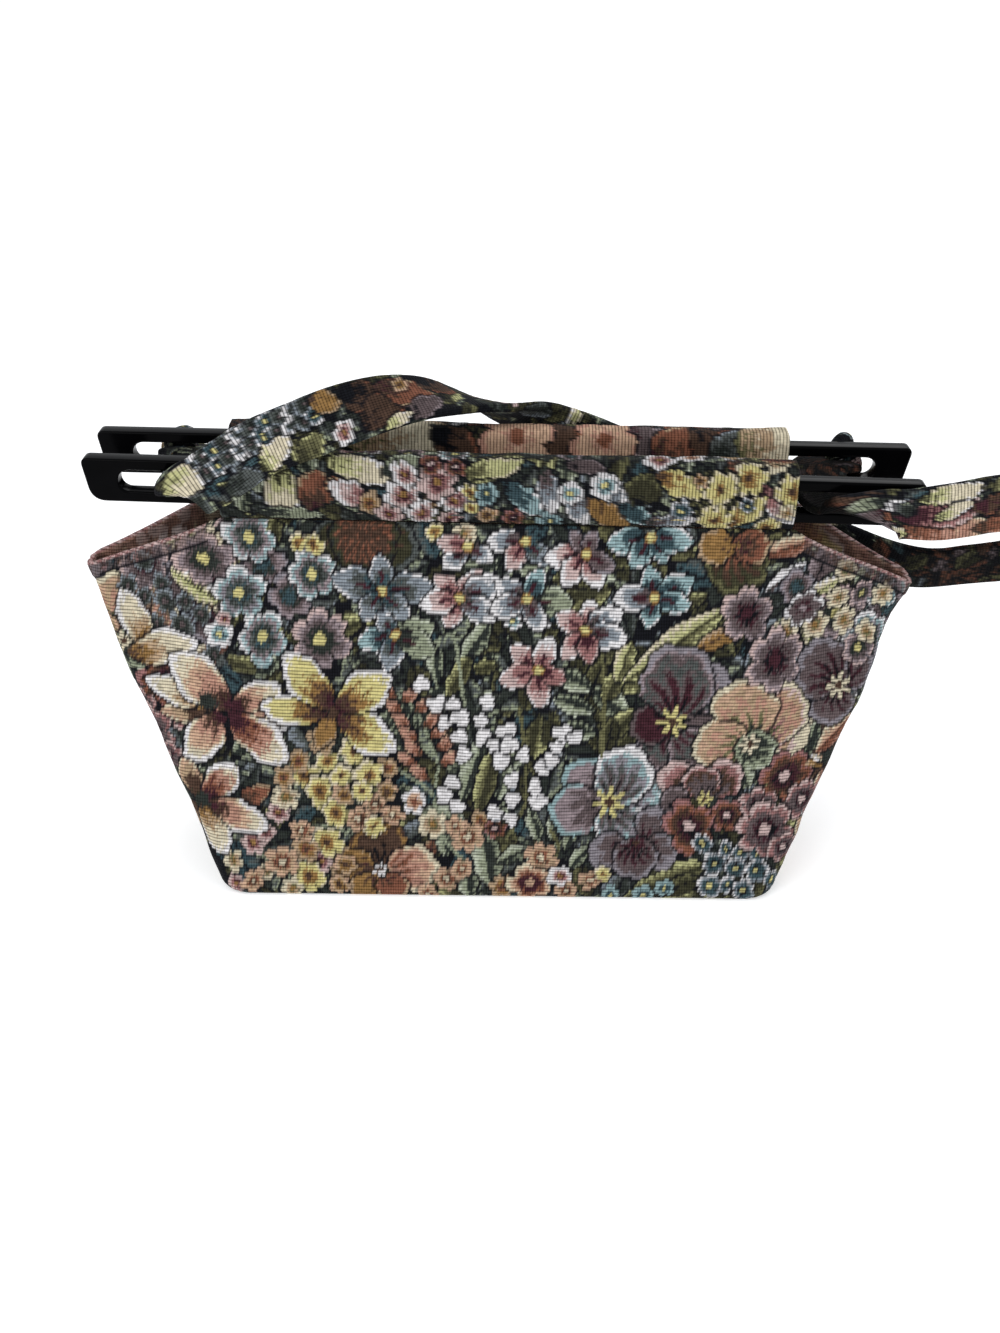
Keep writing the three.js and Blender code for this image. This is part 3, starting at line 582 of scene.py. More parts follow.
class Canvas:
    """The points of one cloth piece: where each lies on the cloth, and the colour that it has so far."""

    OUTLINE = 1.1  # of shadow round each petal, in mm
    SMALL = 8  # radius under which a flower's shadow is fainter, in mm
    STEM = 1.7  # half width of a stem, in the chart's pixels

    def __init__(self, across, up, seed, upright_ribs=False, ragged=1.0):
        self.across = across.flatten()
        self.up = up.flatten()
        self.random = np.random.default_rng(seed)
        self.grain = self.random.random(self.across.size) - 0.5
        along, over = (self.up, self.across) if upright_ribs else (self.across, self.up)
        rib = np.rint(over / RIB).astype(int)
        stretch = np.rint(along / COMB_LENGTH).astype(int)
        shifts = self.random.uniform(-1, 1, (np.ptp(rib) + 1, np.ptp(stretch) + 1))
        self.comb = ragged * shifts[rib - rib.min(), stretch - stretch.min()]
        along += RIB_SHIFT * self.comb
        self.colour = np.tile(linear(YARNS["ground"]), (self.across.size, 1))

    def dye(self, points, yarn):
        self.colour[points] = linear(YARNS[yarn])

    def shade(self, points, shades, value, grain=0.12):
        """Bands of colour from a run of yarns: value 0 is the first yarn and 1 the last."""
        run = np.array([linear(YARNS[yarn]) for yarn in RAMPS.get(shades, shades).split()])
        last = len(run) - 1
        place = np.clip(value + grain * self.grain[points], 0, 1) * last + RAGGED * self.comb[points]
        place = np.clip(place, 0, last)
        low = np.minimum(place.astype(int), last - 1)
        share = smooth(0.3, 0.7, place - low)[:, None]
        self.colour[points] = run[low] * (1 - share) + run[low + 1] * share

    def outline(self, points, depth=0.88):
        """The dark edge that sets a petal off from what lies under it."""
        self.colour[points] = mix(self.colour[points], linear(YARNS["ground"]), depth)

    def around(self, place, reach):
        """The points within reach of a place, and their offsets from it."""
        dx = self.across - place[0]
        dy = self.up - place[1]
        points = np.flatnonzero(dx * dx + dy * dy < reach * reach)
        return points, dx[points], dy[points]

    def blade(self, root, tip, half_width, place, size):
        """The points in a pointed oval, their shares of its length and half width, and its length in mm.

        Its outline is laid first.
        """
        root = np.array(place(*root))
        reach = np.array(place(*tip)) - root
        length = math.hypot(*reach)
        width = half_width * size
        points, dx, dy = self.around(root + reach / 2, length * 0.5 + width + self.OUTLINE)
        along = (dx * reach[0] + dy * reach[1]) / length ** 2 + 0.5
        aside = (dy * reach[0] - dx * reach[1]) / length
        half = width * np.sin(np.pi * np.clip(along, 0.001, 0.999) ** 1.1) ** 0.7
        half = half * (1 + 0.08 * np.sin(along * 12 + root[0] + np.sign(aside)))
        edge = self.OUTLINE / length
        near = (along > -edge) & (along < 1 + edge) & (np.abs(aside) < half + self.OUTLINE)
        self.outline(points[near])
        inside = (along > 0) & (along < 1) & (np.abs(aside) < half)
        return points[inside], along[inside], (aside / half)[inside], length

    def petal(self, row, place, size):
        """A petal: dark at its root, paler toward its tip and rim, with veins that run out."""
        *blade, shades = row
        points, along, share, _ = self.blade(*blade, place, size)
        veins = smooth(0.35, 0.0, np.abs(np.sin(share * 5.2 + 0.8 + 0.4 * np.sin(7 * along))))
        rim = smooth(0.55, 1, np.abs(share)) * smooth(0, 0.4, along)
        value = 0.86 * along + 0.45 * rim + 0.06 * share
        self.shade(points, shades, value - 0.3 * veins * (1 - along) ** 0.7)

    def petals(self, rows, place, size):
        for row in rows:
            self.petal(row, place, size)

    def leaf(self, row, place, size):
        """A leaf: a dark half, a pale half with barbs, and a fine rib down its middle."""
        *blade, shades = row
        points, along, share, length = self.blade(*blade, place, size)
        barbs = 0.09 * np.sin(along * length * 2.4 - 4 * np.abs(share)) * smooth(0.1, 0.5, np.abs(share))
        value = 0.42 + 0.27 * np.sign(share) + 0.3 * np.abs(share) ** 2 + 0.1 * along + barbs
        self.shade(points, shades, value - 0.5 * smooth(0.22, 0.05, np.abs(share)), 0.04)

    def bloom(self, row, kind, place, size):
        """A round flower of five or six unequal petals, seen a little from one side."""
        px, py, radius = row
        radius = radius * size
        eye, shades = KINDS[kind]
        random = np.random.default_rng(int(abs(31 * px + 17 * py)))
        petals = int(random.integers(5, 7))
        lengths = random.uniform(0.78, 1.08, petals)
        lean, turn = random.uniform(0, 2 * math.pi, 2)
        flat = random.uniform(0.76, 1)
        points, dx, dy = self.around(place(px, py), radius * 1.1 + self.OUTLINE)
        along = (dx * math.cos(lean) + dy * math.sin(lean)) / flat
        aside = dy * math.cos(lean) - dx * math.sin(lean)
        far = np.hypot(along, aside)
        bearing = np.arctan2(aside, along) + turn
        lobe = np.abs(np.cos(bearing * petals / 2))
        length = lengths[np.rint(bearing * petals / (2 * np.pi)).astype(int) % petals]
        edge = radius * (0.52 + 0.5 * length * lobe ** 0.5 - 0.06 * smooth(0.95, 1, lobe))
        self.outline(points[far < edge + self.OUTLINE], 0.6 if radius < self.SMALL else 0.88)
        inside = far < edge
        share = (far / edge)[inside]
        crease = 0.6 * smooth(0.5, 0.0, lobe[inside]) * smooth(1.1, 0.6, share)
        vein = 0.16 * np.cos(bearing[inside] * petals * 3) * (1 - share)
        lit = 0.1 * (dy - dx)[inside] / radius
        self.shade(points[inside], shades, 1.3 * share - 0.26 - crease + vein + lit)
        self.dye(points[far < radius * 0.2], eye)

    def blooms(self, chart, place, size):
        for kind, rows in chart.items():
            for row in rows:
                self.bloom(row, kind, place, size)

    def star(self, row, place, size):
        """A flower of separate pointed petals about a gold eye."""
        *heart, tips = row
        heart = np.array(heart)
        for *tip, shades in tips:
            reach = np.array(tip) - heart
            self.petal((heart, heart + reach, 0.31 * math.hypot(*reach), shades), place, size)
            self.stem("burgundy", [heart + 0.26 * reach, heart + 0.48 * reach], place, size)
        for radius, yarn in ((5.5, "gold"), (4, "yellow")):
            self.dye(self.around(place(*heart), radius * size)[0], yarn)

    def pansy(self, row, place, size):
        """Overlapping round petals that darken toward the hub, and an eye of short rays on the hub."""
        hub, eye, eye_radius, petals = row
        hub = place(*hub)
        for px, py, radius, shades in petals:
            radius = radius * size
            points, dx, dy = self.around(place(px, py), radius * 1.12 + self.OUTLINE)
            bearing = np.arctan2(dy, dx)
            edge = radius * (1 + 0.05 * np.sin(5 * bearing + px) + 0.025 * np.sin(11 * bearing))
            far = np.hypot(dx, dy)
            self.outline(points[far < edge + self.OUTLINE])
            inside = far < edge
            points, share = points[inside], (far / edge)[inside]
            hub_x, hub_y = self.across[points] - hub[0], self.up[points] - hub[1]
            from_hub = np.hypot(hub_x, hub_y) / (2 * radius)
            streak = 0.26 * np.sin(np.arctan2(hub_y, hub_x) * 15 + 2 * np.sin(6 * from_hub) + py)
            rim = 0.4 * smooth(0.68, 1, share)
            self.shade(points, shades, 0.85 * from_hub + streak * (1.1 - from_hub) + rim - 0.08)
        reach = eye_radius * size
        points, dx, dy = self.around(hub, reach)
        far = np.hypot(dx, dy)
        rays = 0.66 + 0.34 * np.cos(7 * np.arctan2(dy, dx) + hub[0])
        self.dye(points[far < reach * rays], eye)
        self.dye(points[far < 0.3 * reach], "brown")

    def bell(self, spot, place, size):
        """A white bell, shaded under its skirt."""
        radius = BELL_RADIUS * size * (1 + 0.14 * math.sin(spot[0] * 2.1 + spot[1]))
        points, dx, dy = self.around(place(*spot), radius * 1.2 + self.OUTLINE)
        bearing = np.arctan2(dy, dx)
        edge = radius * (0.9 + 0.13 * np.cos(3 * bearing + spot[0]) + 0.1 * np.cos(2 * bearing + spot[1]))
        far = np.hypot(dx, dy)
        self.outline(points[far < edge + self.OUTLINE])
        inside = far < edge
        self.shade(points[inside], "blue_grey white white", 0.75 + 0.5 * (dy / radius)[inside])

    def stem(self, yarn, bends, place, size):
        """A thin line of one yarn from bend to bend."""
        spots = [np.array(place(*bend)) for bend in bends]
        for start, end in zip(spots, spots[1:]):
            reach = end - start
            length = math.hypot(*reach)
            points, dx, dy = self.around((start + end) / 2, length / 2 + 1)
            aside = np.abs(dy * reach[0] - dx * reach[1]) / length
            self.dye(points[aside < self.STEM * size], yarn)

    def strewn(self, count, bounds):
        """Numbered places by seeded chance, between bounds."""
        low_x, low_y, high_x, high_y = bounds
        for index in range(count):
            yield index, self.random.uniform(low_x, high_x), self.random.uniform(low_y, high_y)

    def undergrowth(self, count, bounds, size, shades=UNDERGROWTH):
        """Leaves laid over the ground before the flowers."""
        for index, x, y in self.strewn(count, bounds):
            bearing = self.random.uniform(0, 2 * math.pi)
            length = self.random.uniform(10, 24) * size
            tip = (x + length * math.cos(bearing), y + length * math.sin(bearing))
            self.leaf(((x, y), tip, 0.27 * length, shades[index % len(shades)]), as_is, 1)

    def garden(self, shift=(0, 0)):
        """The whole flower chart, moved by a shift along the cloth."""
        def place(px, py):
            across, up = wall_place(px, py)
            return across + shift[0], up + shift[1]

        for shades, rows in LEAVES.items():
            for row in rows:
                self.leaf((*row, shades), place, PIXEL)
        for row in PANSIES:
            self.pansy(row, place, PIXEL)
        for yarn, bends in STEMS:
            self.stem(yarn, bends, place, PIXEL)
        for middles, lean in ((FERN_LEFT, -1), (FERN_RIGHT, 1)):
            for px, py in middles:
                self.petal(((px - lean * 8, py + 7), (px + lean * 10, py - 7), 5.6, "fern"), place, PIXEL)
        self.blooms(BLOOMS, place, BLOOM_GROWTH * PIXEL)
        for row in STARS:
            self.star(row, place, PIXEL)
        self.petals(LILIES, place, PIXEL)
        for px, py, radius, yarn in THROATS:
            points, dx, dy = self.around(place(px, py), radius * PIXEL)
            far = np.hypot(dx, dy) / (radius * PIXEL)
            self.dye(points[far < 0.75 + 0.5 * self.grain[points]], yarn)
        for spot in BELLS:
            self.bell(spot, place, PIXEL)

    def scatter(self, count, bounds, size):
        """Flowers and leaves strewn over a stretch that the photograph doesn't show."""
        for index, x, y in self.strewn(count, bounds):
            radius = self.random.uniform(5, 9) * size
            if index % 3 == 0:
                bearing = self.random.uniform(0, 2 * math.pi)
                tip = (x + 2.4 * radius * math.cos(bearing), y + 2.4 * radius * math.sin(bearing))
                self.leaf(((x, y), tip, 0.6 * radius, self.random.choice(list(LEAVES))), as_is, 1)
            else:
                self.bloom((x, y, radius), self.random.choice(list(KINDS)), as_is, 1)

    def woven(self):
        """The finished colours, a little uneven from yarn to yarn."""
        return DYE_DEPTH * self.colour * (1 + 0.2 * self.grain)[:, None]


# Meshes


def grid_faces(rows, columns, wrap_rows=False, wrap_columns=False):
    """The four corners of each cell in a grid of points, numbered row by row."""
    row = np.arange(rows if wrap_rows else rows - 1)[:, None]
    column = np.arange(columns if wrap_columns else columns - 1)[None, :]
    above = (row + 1) % rows
    beside = (column + 1) % columns
    near, far = row * columns, above * columns
    corners = np.broadcast_arrays(near + column, near + beside, far + beside, far + column)
    return np.stack(corners, axis=-1).reshape(-1, 4)


def signed_volume(points, quads):
    a, b, c, d = (points[quads[:, corner]] for corner in range(4))
    halves = np.cross(a, b) * c + np.cross(a, c) * d
    return halves.sum()


def raise_yarns(mesh, colour, held):
    """Lifts each point by the paleness of its yarn, but for those that are held, and none below the floor."""
    places = np.empty(3 * len(mesh.vertices))
    outward = np.empty(3 * len(mesh.vertices))
    mesh.vertices.foreach_get("co", places)
    mesh.vertex_normals.foreach_get("vector", outward)
    lift = RELIEF * MM * np.sqrt(colour.mean(axis=1))
    if held is not None:
        lift = np.where(held, 0, lift)
    places = places.reshape(-1, 3) + lift[:, None] * outward.reshape(-1, 3)
    places[:, 2] = np.maximum(places[:, 2], 0)
    mesh.vertices.foreach_set("co", places.ravel())


def add_object(name, data):
    thing = bpy.data.objects.new(name, data)
    bpy.context.scene.collection.objects.link(thing)
    return thing


def ride_bag(name, mesh, node):
    """A mesh as a piece that rides the bag. node: the solid that it is drawn in place of, if any."""
    piece = add_object(name, mesh)
    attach(piece, "root")
    if node:
        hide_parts(node)


def add_piece(name, node, material, points, quads, caps, colour, cloth, held=None):
    """A cloth piece in the frame's metres, with each point's yarn colour and its place on the cloth."""
    faces = quads.tolist() + [list(cap) for cap in caps]
    if signed_volume(points, quads) < 0:
        faces = [face[::-1] for face in faces]
    mesh = bpy.data.meshes.new(name)
    mesh.from_pydata((points * MM).tolist(), [], faces)
    mesh.polygons.foreach_set("use_smooth", np.ones(len(faces), bool))
    mesh.set_sharp_from_angle(angle=math.radians(55))
    raise_yarns(mesh, colour, held)
    woven = mesh.attributes.new("woven", "FLOAT_COLOR", "POINT")
    woven.data.foreach_set("color", np.column_stack([colour, np.ones(len(colour))]).ravel())
    threads = mesh.attributes.new("threads", "FLOAT_VECTOR", "POINT")
    threads.data.foreach_set("vector", np.column_stack([cloth, np.zeros(len(cloth))]).ravel())
    mesh.materials.append(material)
    mesh.validate()
    ride_bag(name, mesh, node)


# Walls


def sleeve_end(part):
    """Distance from the middle to the sleeve's end on each point's half of the bag."""
    return np.where(part < 0, -SLEEVE.left, SLEEVE.right)


def top_height(side, part):
    """Height of the panel's top edge: level under the sleeve, then falling to the corner of the mouth."""
    reach = np.minimum(np.abs(part) * HALF_LOOP, MOUTH.half_width)
    level = side.seam - GAP - np.sign(part) * reach * side.sleeve_dip
    corner = np.where(part < 0, MOUTH.left_corner, MOUTH.right_corner)
    start = sleeve_end(part) + HEM.start
    along = np.clip((reach - start) / (MOUTH.half_width - start), 0, 1)
    return mix(level, corner, along ** 0.9)


def loop_point(side, part, height, inset):
    """A point of the wall's loop in plan, with its place along the loop. part: -1 to 1, seam to seam."""
    rise = np.clip(height / CORNER_HEIGHT, 0, 1)
    half_width = mix(BASE.half_width, MOUTH.half_width, rise) - inset
    half_depth = mix(BASE.half_depth, MOUTH.tip_depth, rise) - inset
    radius = np.minimum(mix(BASE.corner_radius, MOUTH.tip_radius, rise), half_depth)
    flat = half_width - radius
    arc = radius * np.pi / 2
    straight = half_depth - radius
    sign = np.where(part < 0, -1, 1)
    distance = np.abs(part) * (flat + arc + straight)
    turn = np.clip((distance - flat) / radius, 0, np.pi / 2)
    x = np.minimum(distance, flat) + radius * np.sin(turn)
    depth = half_depth - radius + radius * np.cos(turn) - np.maximum(distance - flat - arc, 0)
    seam_depth = abs(side.y) + BAR.thickness / 2 + GAP + WALL - SEAM_INSET
    middle = mix(BASE.half_depth, seam_depth, height / side.seam) - inset
    yaw = side.out * sign * x * side.yaw * rise
    blend = (1 - smooth(0.6, 0.98, x / half_width)) * smooth(0, 0.12, rise)
    depth = depth + (middle + yaw - half_depth) * blend
    around = (
        SHARES.flat * np.clip(distance / flat, 0, 1)
        + SHARES.corner * np.clip((distance - flat) / arc, 0, 1)
        + SHARES.side * np.clip((distance - flat - arc) / np.maximum(straight, 1e-6), 0, 1)
    )
    return sign * x, side.out * np.maximum(depth, 0), sign * around, sign * distance


def ripple(across, up, seed, waves):
    """Smooth unevenness from a few seeded waves. waves: wavelength and height of each band, in mm."""
    random = np.random.default_rng(seed)
    total = np.zeros(np.broadcast(across, up).shape)
    for length, height in waves:
        for _ in range(5):
            bearing = random.uniform(0, 2 * math.pi)
            phase = random.uniform(0, 2 * math.pi)
            number = 2 * math.pi / (length * random.uniform(0.8, 1.3))
            along = across * math.cos(bearing) + up * math.sin(bearing)
            total += height / 2.2 * np.sin(number * along + phase)
    return total


def small_folds(folds, along, from_seam):
    """Upright folds along a seam, which fade away from it."""
    wave = np.sin(along * 2 * np.pi / folds.wave + np.sin(along / folds.wander))
    return folds.height * wave * np.exp(-from_seam / folds.reach)


def wall_point(side, part, height, inset):
    """A point of the soft wall, swells and ripples included, and its place on the cloth."""
    x, y, around, distance = loop_point(side, part, height, inset)
    step = 0.003
    x_after, y_after = loop_point(side, np.minimum(part + step, 1), height, inset)[:2]
    x_before, y_before = loop_point(side, np.maximum(part - step, -1), height, inset)[:2]
    run_x, run_y = x_after - x_before, y_after - y_before
    run = np.maximum(np.hypot(run_x, run_y), 1e-6)
    out_x, out_y = -side.out * run_y / run, side.out * run_x / run
    push = sum(
        swell.push * np.exp(-((around - swell.around) / swell.reach_around) ** 2
                            - ((height - swell.height) / swell.reach_up) ** 2)
        for swell in SWELLS[side.name]
    )
    top = top_height(side, part)
    push = push + ripple(distance, height, SEEDS.wall_ripple + side.out, WALL_RIPPLES)
    pucker = small_folds(PUCKERS, distance, top - height)
    held = smooth(0, 20, height) * smooth(0, 24, top - height)
    seam = 1 - smooth(0.94, 1, np.abs(around))
    push = (push * held + pucker * smooth(0, 4, top - height)) * seam
    beside = smooth(-2, 4, np.abs(x) - sleeve_end(part))
    push = push + HEM.lift * beside * smooth(HEM.depth + 0.8, HEM.depth - 0.6, top - height) * seam
    to_seam = np.abs(distance) * (1 / np.maximum(np.abs(part), 1e-6) - 1)
    groove = SEAM_GROOVE.depth * np.exp(-(to_seam / SEAM_GROOVE.reach) ** 2) * smooth(2, 8, height)
    x = x - np.sign(part) * groove
    return x + out_x * push, y + out_y * push, distance


def panel_rows():
    """The rows of a panel's section: under the base, round the fold, up, over the rim and down inside.

    Each row has an inset, a height where it is fixed, and a share of the wall's rise where it isn't.
    """
    edge = BASE.edge_radius
    rows = [(inset, 0, 0) for inset in np.linspace(edge + BASE.turn_under, edge, 5)]
    fold = np.linspace(0, np.pi / 2, 7)[1:]
    rows += [(edge * (1 - math.sin(turn)), edge * (1 - math.cos(turn)), 0) for turn in fold]
    wall_ribs = round((FRONT.seam - edge) * SLANT / RIB)
    rows += [(0, edge, share) for share in np.linspace(0, 1, wall_ribs + 1)[1:]]
    outer = len(rows)
    half = WALL / 2
    rim = np.linspace(0, np.pi, 6)[1:-1]
    rows += [(half - half * math.cos(turn), edge + math.sin(turn), 1) for turn in rim]
    rows += [(WALL, edge, 1 - depth ** 1.8) for depth in np.linspace(0, 1, 25)]
    inner = edge - WALL
    inner_fold = np.linspace(np.pi / 2, 0, 4)[1:]
    rows += [(edge - inner * math.sin(turn), edge - inner * math.cos(turn), 0) for turn in inner_fold]
    rows += [(edge + BASE.turn_under, WALL, 0)]
    return np.array(rows), outer


def build_panel(side, material, shifts):
    """One wall, from the turned edge under the base to the hem, with the chart laid at each shift."""
    rows, outer = panel_rows()
    columns = 2 * round(MOUTH.half_width / STEP) + 1
    part = np.linspace(-1, 1, columns)[None, :]
    inset, fixed, share = (rows[:, [column]] for column in range(3))
    rise = top_height(side, part) - 1 - BASE.edge_radius
    height = fixed + share * rise
    x, y, distance = wall_point(side, part + 0 * height, height, inset + 0 * part)
    points = np.stack([x, y, height], axis=-1).reshape(-1, 3)
    up = np.where(height > 0, height * SLANT, -(inset - BASE.edge_radius)) + 0 * part
    count = len(rows)
    canvas = Canvas(distance, up, SEEDS.wall + side.out)
    canvas.undergrowth(*WALL_LEAVES)
    for shift in shifts:
        canvas.garden(shift)
    dye_hem(canvas, side)
    lining = np.repeat(np.arange(count) >= outer + 3, columns)
    canvas.colour[lining] = mix(canvas.colour, linear(YARNS["salmon"]), 0.45)[lining]
    quads = grid_faces(count, columns, wrap_rows=True)
    seam = np.arange(count) * columns
    caps = [seam.tolist(), (seam + columns - 1)[::-1].tolist()]
    cloth = np.column_stack([distance.ravel(), up.ravel()])
    seam_points = np.isin(np.arange(len(points)) % columns, (0, columns - 1))
    add_piece(
        f"{side.name}_wall", f"{side.name}_panel", material, points, quads, caps, canvas.woven(),
        cloth, seam_points)


def dye_hem(canvas, side):
    """The turned hem beside the sleeves: a dusky band under a thin pale edge, a painted highlight where the
    fold catches the light.
    """
    part = np.clip(canvas.across / HALF_LOOP, -1, 1)
    drop = top_height(side, part) - canvas.up / SLANT
    beside = np.abs(canvas.across) > sleeve_end(part) + HEM.dye_start
    streak = np.sin(canvas.across * 0.9) + np.sin(canvas.across * 0.37 + 1)
    band = np.flatnonzero(beside & (drop < HEM.depth))
    pattern = canvas.colour[band].copy()
    canvas.shade(band, "ground mauve_brown brown mauve_brown rose", 0.4 + 0.22 * streak[band], 0.5)
    canvas.colour[band] = mix(pattern, canvas.colour[band], 0.6)
    canvas.dye(np.flatnonzero(beside & (np.abs(drop - HEM.depth) < HEM.line)), "ground")
    # The pale rim is a painted highlight where the hem's folded edge catches the light
    rim = np.flatnonzero(beside & (drop < HEM.rim))
    canvas.shade(rim, "rose pink", np.full(rim.size, 0.5), 1)


def build_base(material):
    """The flat bottom, inside the panels' turned edges."""
    inset = BASE.edge_radius + BASE.turn_under + GAP
    past_corner = BASE.half_width - inset + (math.pi / 2 - 1) * BASE.corner_radius
    side = BASE.half_depth - inset - BASE.corner_radius
    part = np.linspace(-1, 1, 2 * round(past_corner / STEP) + 1) * past_corner / (past_corner + side)
    front = loop_point(FRONT, part, np.zeros(part.shape), inset)
    back = loop_point(BACK, part, np.zeros(part.shape), inset)
    lanes = np.linspace(0, 1, round(2 * (BASE.half_depth - inset) / RIB) + 1)[:, None]
    plan = [mix(front[axis], back[axis], lanes) for axis in (0, 1)]
    rows, columns = plan[0].shape
    low = np.stack([*plan, 0 * plan[0]], axis=-1).reshape(-1, 3)
    high = low + (0, 0, WALL)
    quads = grid_faces(rows, columns)
    size = rows * columns
    corner = np.arange(size).reshape(rows, columns)
    border = np.concatenate([corner[0, :-1], corner[:-1, -1], corner[-1, :0:-1], corner[:0:-1, 0]])
    after = np.roll(border, -1)
    sides = np.column_stack([border, after, after + size, border + size])
    quads = np.concatenate([quads[:, ::-1], quads + size, sides])
    points = np.concatenate([low, high])
    canvas = Canvas(points[:, 0], points[:, 1] + 60, SEEDS.bottom)
    canvas.undergrowth(*BOTTOM_LEAVES)
    canvas.scatter(*BOTTOM_FLOWERS)
    cloth = points[:, :2]
    add_piece("bottom", "base_panel", material, points, quads, (), canvas.woven(), cloth)


# Sleeves


def eased_corners(corners, steps):
    """Points round a loop of corners, each given by x, y and radius and eased by a quadratic curve."""
    spots = []
    for index, (x, y, radius) in enumerate(corners):
        at = np.array((x, y))
        ends = []
        for other in (corners[index - 1], corners[(index + 1) % len(corners)]):
            reach = np.array(other[:2]) - at
            ends.append(at + reach / math.hypot(*reach) * radius)
        for share in np.linspace(0, 1, steps):
            spots.append((1 - share) ** 2 * ends[0] + 2 * share * (1 - share) * at + share ** 2 * ends[1])
    return spots


def rounded_loop(corners, count):
    """Evenly spaced points round a loop of eased corners, and each point's distance along it."""
    spots = eased_corners(corners, 12)
    spots = np.array(spots + spots[:1])
    along = np.concatenate([[0], np.cumsum(np.hypot(*np.diff(spots, axis=0).T))])
    places = np.linspace(0, along[-1], count, endpoint=False)
    return np.column_stack([np.interp(places, along, spots[:, axis]) for axis in (0, 1)]), places


def turned_side(side, local, lift, dip):
    """Points of a bar's or sleeve's own frame in the bag's frame."""
    lifted = local @ np.array(Matrix.Rotation(dip, 3, "Y")).T + (0, 0, lift)
    return lifted @ np.array(Matrix.Rotation(side.yaw, 3, "Z")).T + (side.x, side.y, 0)


def ring(x, section):
    """A section's points at one place along a sleeve."""
    return np.column_stack([np.full(len(section), x), section])


def build_sleeve(side, material, paint):
    """A cloth tunnel round the bar, sewn to the panel by its narrow tail."""
    inner = BAR.thickness / 2 + GAP
    outer = inner + WALL
    low = SLEEVE.tail_height + WALL
    outline = [
        (-SLEEVE.tail_half, 0, 0.8), (-outer, low + 1.5, 3), (-outer, SLEEVE.height, SLEEVE.top_radius),
        (outer, SLEEVE.height, SLEEVE.top_radius), (outer, low + 1.5, 3), (SLEEVE.tail_half, 0, 0.8),
    ]
    tunnel = [
        (-inner, SLEEVE.tail_height, 0.5), (-inner, SLEEVE.height - WALL, SLEEVE.top_radius - WALL),
        (inner, SLEEVE.height - WALL, SLEEVE.top_radius - WALL), (inner, SLEEVE.tail_height, 0.5),
    ]
    around = round(SLEEVE_GIRTH / STEP)
    skin, places = rounded_loop(outline, around)
    lining, _ = rounded_loop(tunnel, around)
    length = SLEEVE.right - SLEEVE.left
    along = np.linspace(SLEEVE.left, SLEEVE.right, round(length / RIB) + 1)
    soft = np.array([ring(place, skin) for place in along])
    x, y, z = (soft[..., axis] for axis in range(3))
    bulge = ripple(x, places, SEEDS.sleeve_ripple + side.out, SLEEVE_RIPPLES)
    gather = small_folds(GATHERS, x, z)
    end = smooth(0, 5, np.minimum(x - SLEEVE.left, SLEEVE.right - x))
    face = np.sign(y) * smooth(1.5, 4, np.abs(y))
    y += face * (bulge + gather + 0.5 * (1 - end) * smooth(4, 12, z))
    z += smooth(SLEEVE.height - 5, SLEEVE.height, z) * (0.5 * bulge + 0.2)
    right_lip = ring(SLEEVE.right + SLEEVE_LIP, mix(soft[-1, :, 1:], lining, 0.5))
    left_lip = ring(SLEEVE.left - SLEEVE_LIP, mix(soft[0, :, 1:], lining, 0.5))
    inside = [ring(place, lining) for place in np.linspace(SLEEVE.right, SLEEVE.left, 8)]
    loop = np.concatenate([soft, [right_lip], inside, [left_lip]])
    count = len(loop)
    points = turned_side(side, loop.reshape(-1, 3), side.seam, side.sleeve_dip)
    wide = np.tile(places, (count, 1))
    canvas = Canvas(loop[..., 0], wide, SEEDS.sleeve + side.out, upright_ribs=True, ragged=1.7)
    canvas.undergrowth(*SLEEVE_LEAVES)
    paint(canvas)
    quads = grid_faces(count, around, True, True)
    cloth = np.column_stack([wide.ravel(), loop[..., 0].ravel()])
    add_piece(
        f"{side.name}_casing", f"{side.name}_sleeve", material, points, quads, (),
        canvas.woven(), cloth)


def paint_front_sleeve(canvas):
    canvas.scatter(*FRONT_SLEEVE_FAR_FLOWERS)
    canvas.petals(SLEEVE_PETALS, sleeve_place, SLEEVE_SCALE)
    canvas.blooms(SLEEVE_BLOOMS, sleeve_place, SLEEVE_SCALE)
    # The front sleeve is darkened as a whole, to this share of the walls' colours for the same yarns
    canvas.colour *= FRONT_SLEEVE_DARKENING


def paint_back_sleeve(canvas):
    canvas.scatter(*BACK_SLEEVE_NEAR_FLOWERS)
    canvas.scatter(*BACK_SLEEVE_FAR_FLOWERS)
    canvas.undergrowth(*BACK_SLEEVE_TOP_LEAVES, BROWN_AND_SHADE_LEAVES)
    canvas.petals(BACK_SLEEVE_PETALS, as_is, 1)
    canvas.blooms(BACK_SLEEVE_BLOOMS, as_is, 1)


# Bars


def bar_outline():
    """The bar's outline from the front: its ends rake inward to the lower edge."""
    half, top = BAR.length / 2, BAR.height / 2
    corners = [
        (-half, top, BAR.top_radius), (-half + BAR.rake, -top, BAR.low_radius),
        (half - BAR.rake, -top, BAR.low_radius), (half, top, BAR.top_radius),
    ]
    return eased_corners(corners, 10)


def slot_outline(end):
    """The round-ended slot near one end. end: -1 for the left and 1 for the right."""
    radius = BAR.slot_height / 2
    low, high = BAR.slot_inner + radius, BAR.slot_outer - radius
    spots = []
    for centre, start in ((high, -np.pi / 2), (low, np.pi / 2)):
        for angle in np.linspace(start, start + np.pi, 14):
            spots.append((end * (centre + radius * math.cos(angle)), radius * math.sin(angle)))
    return spots


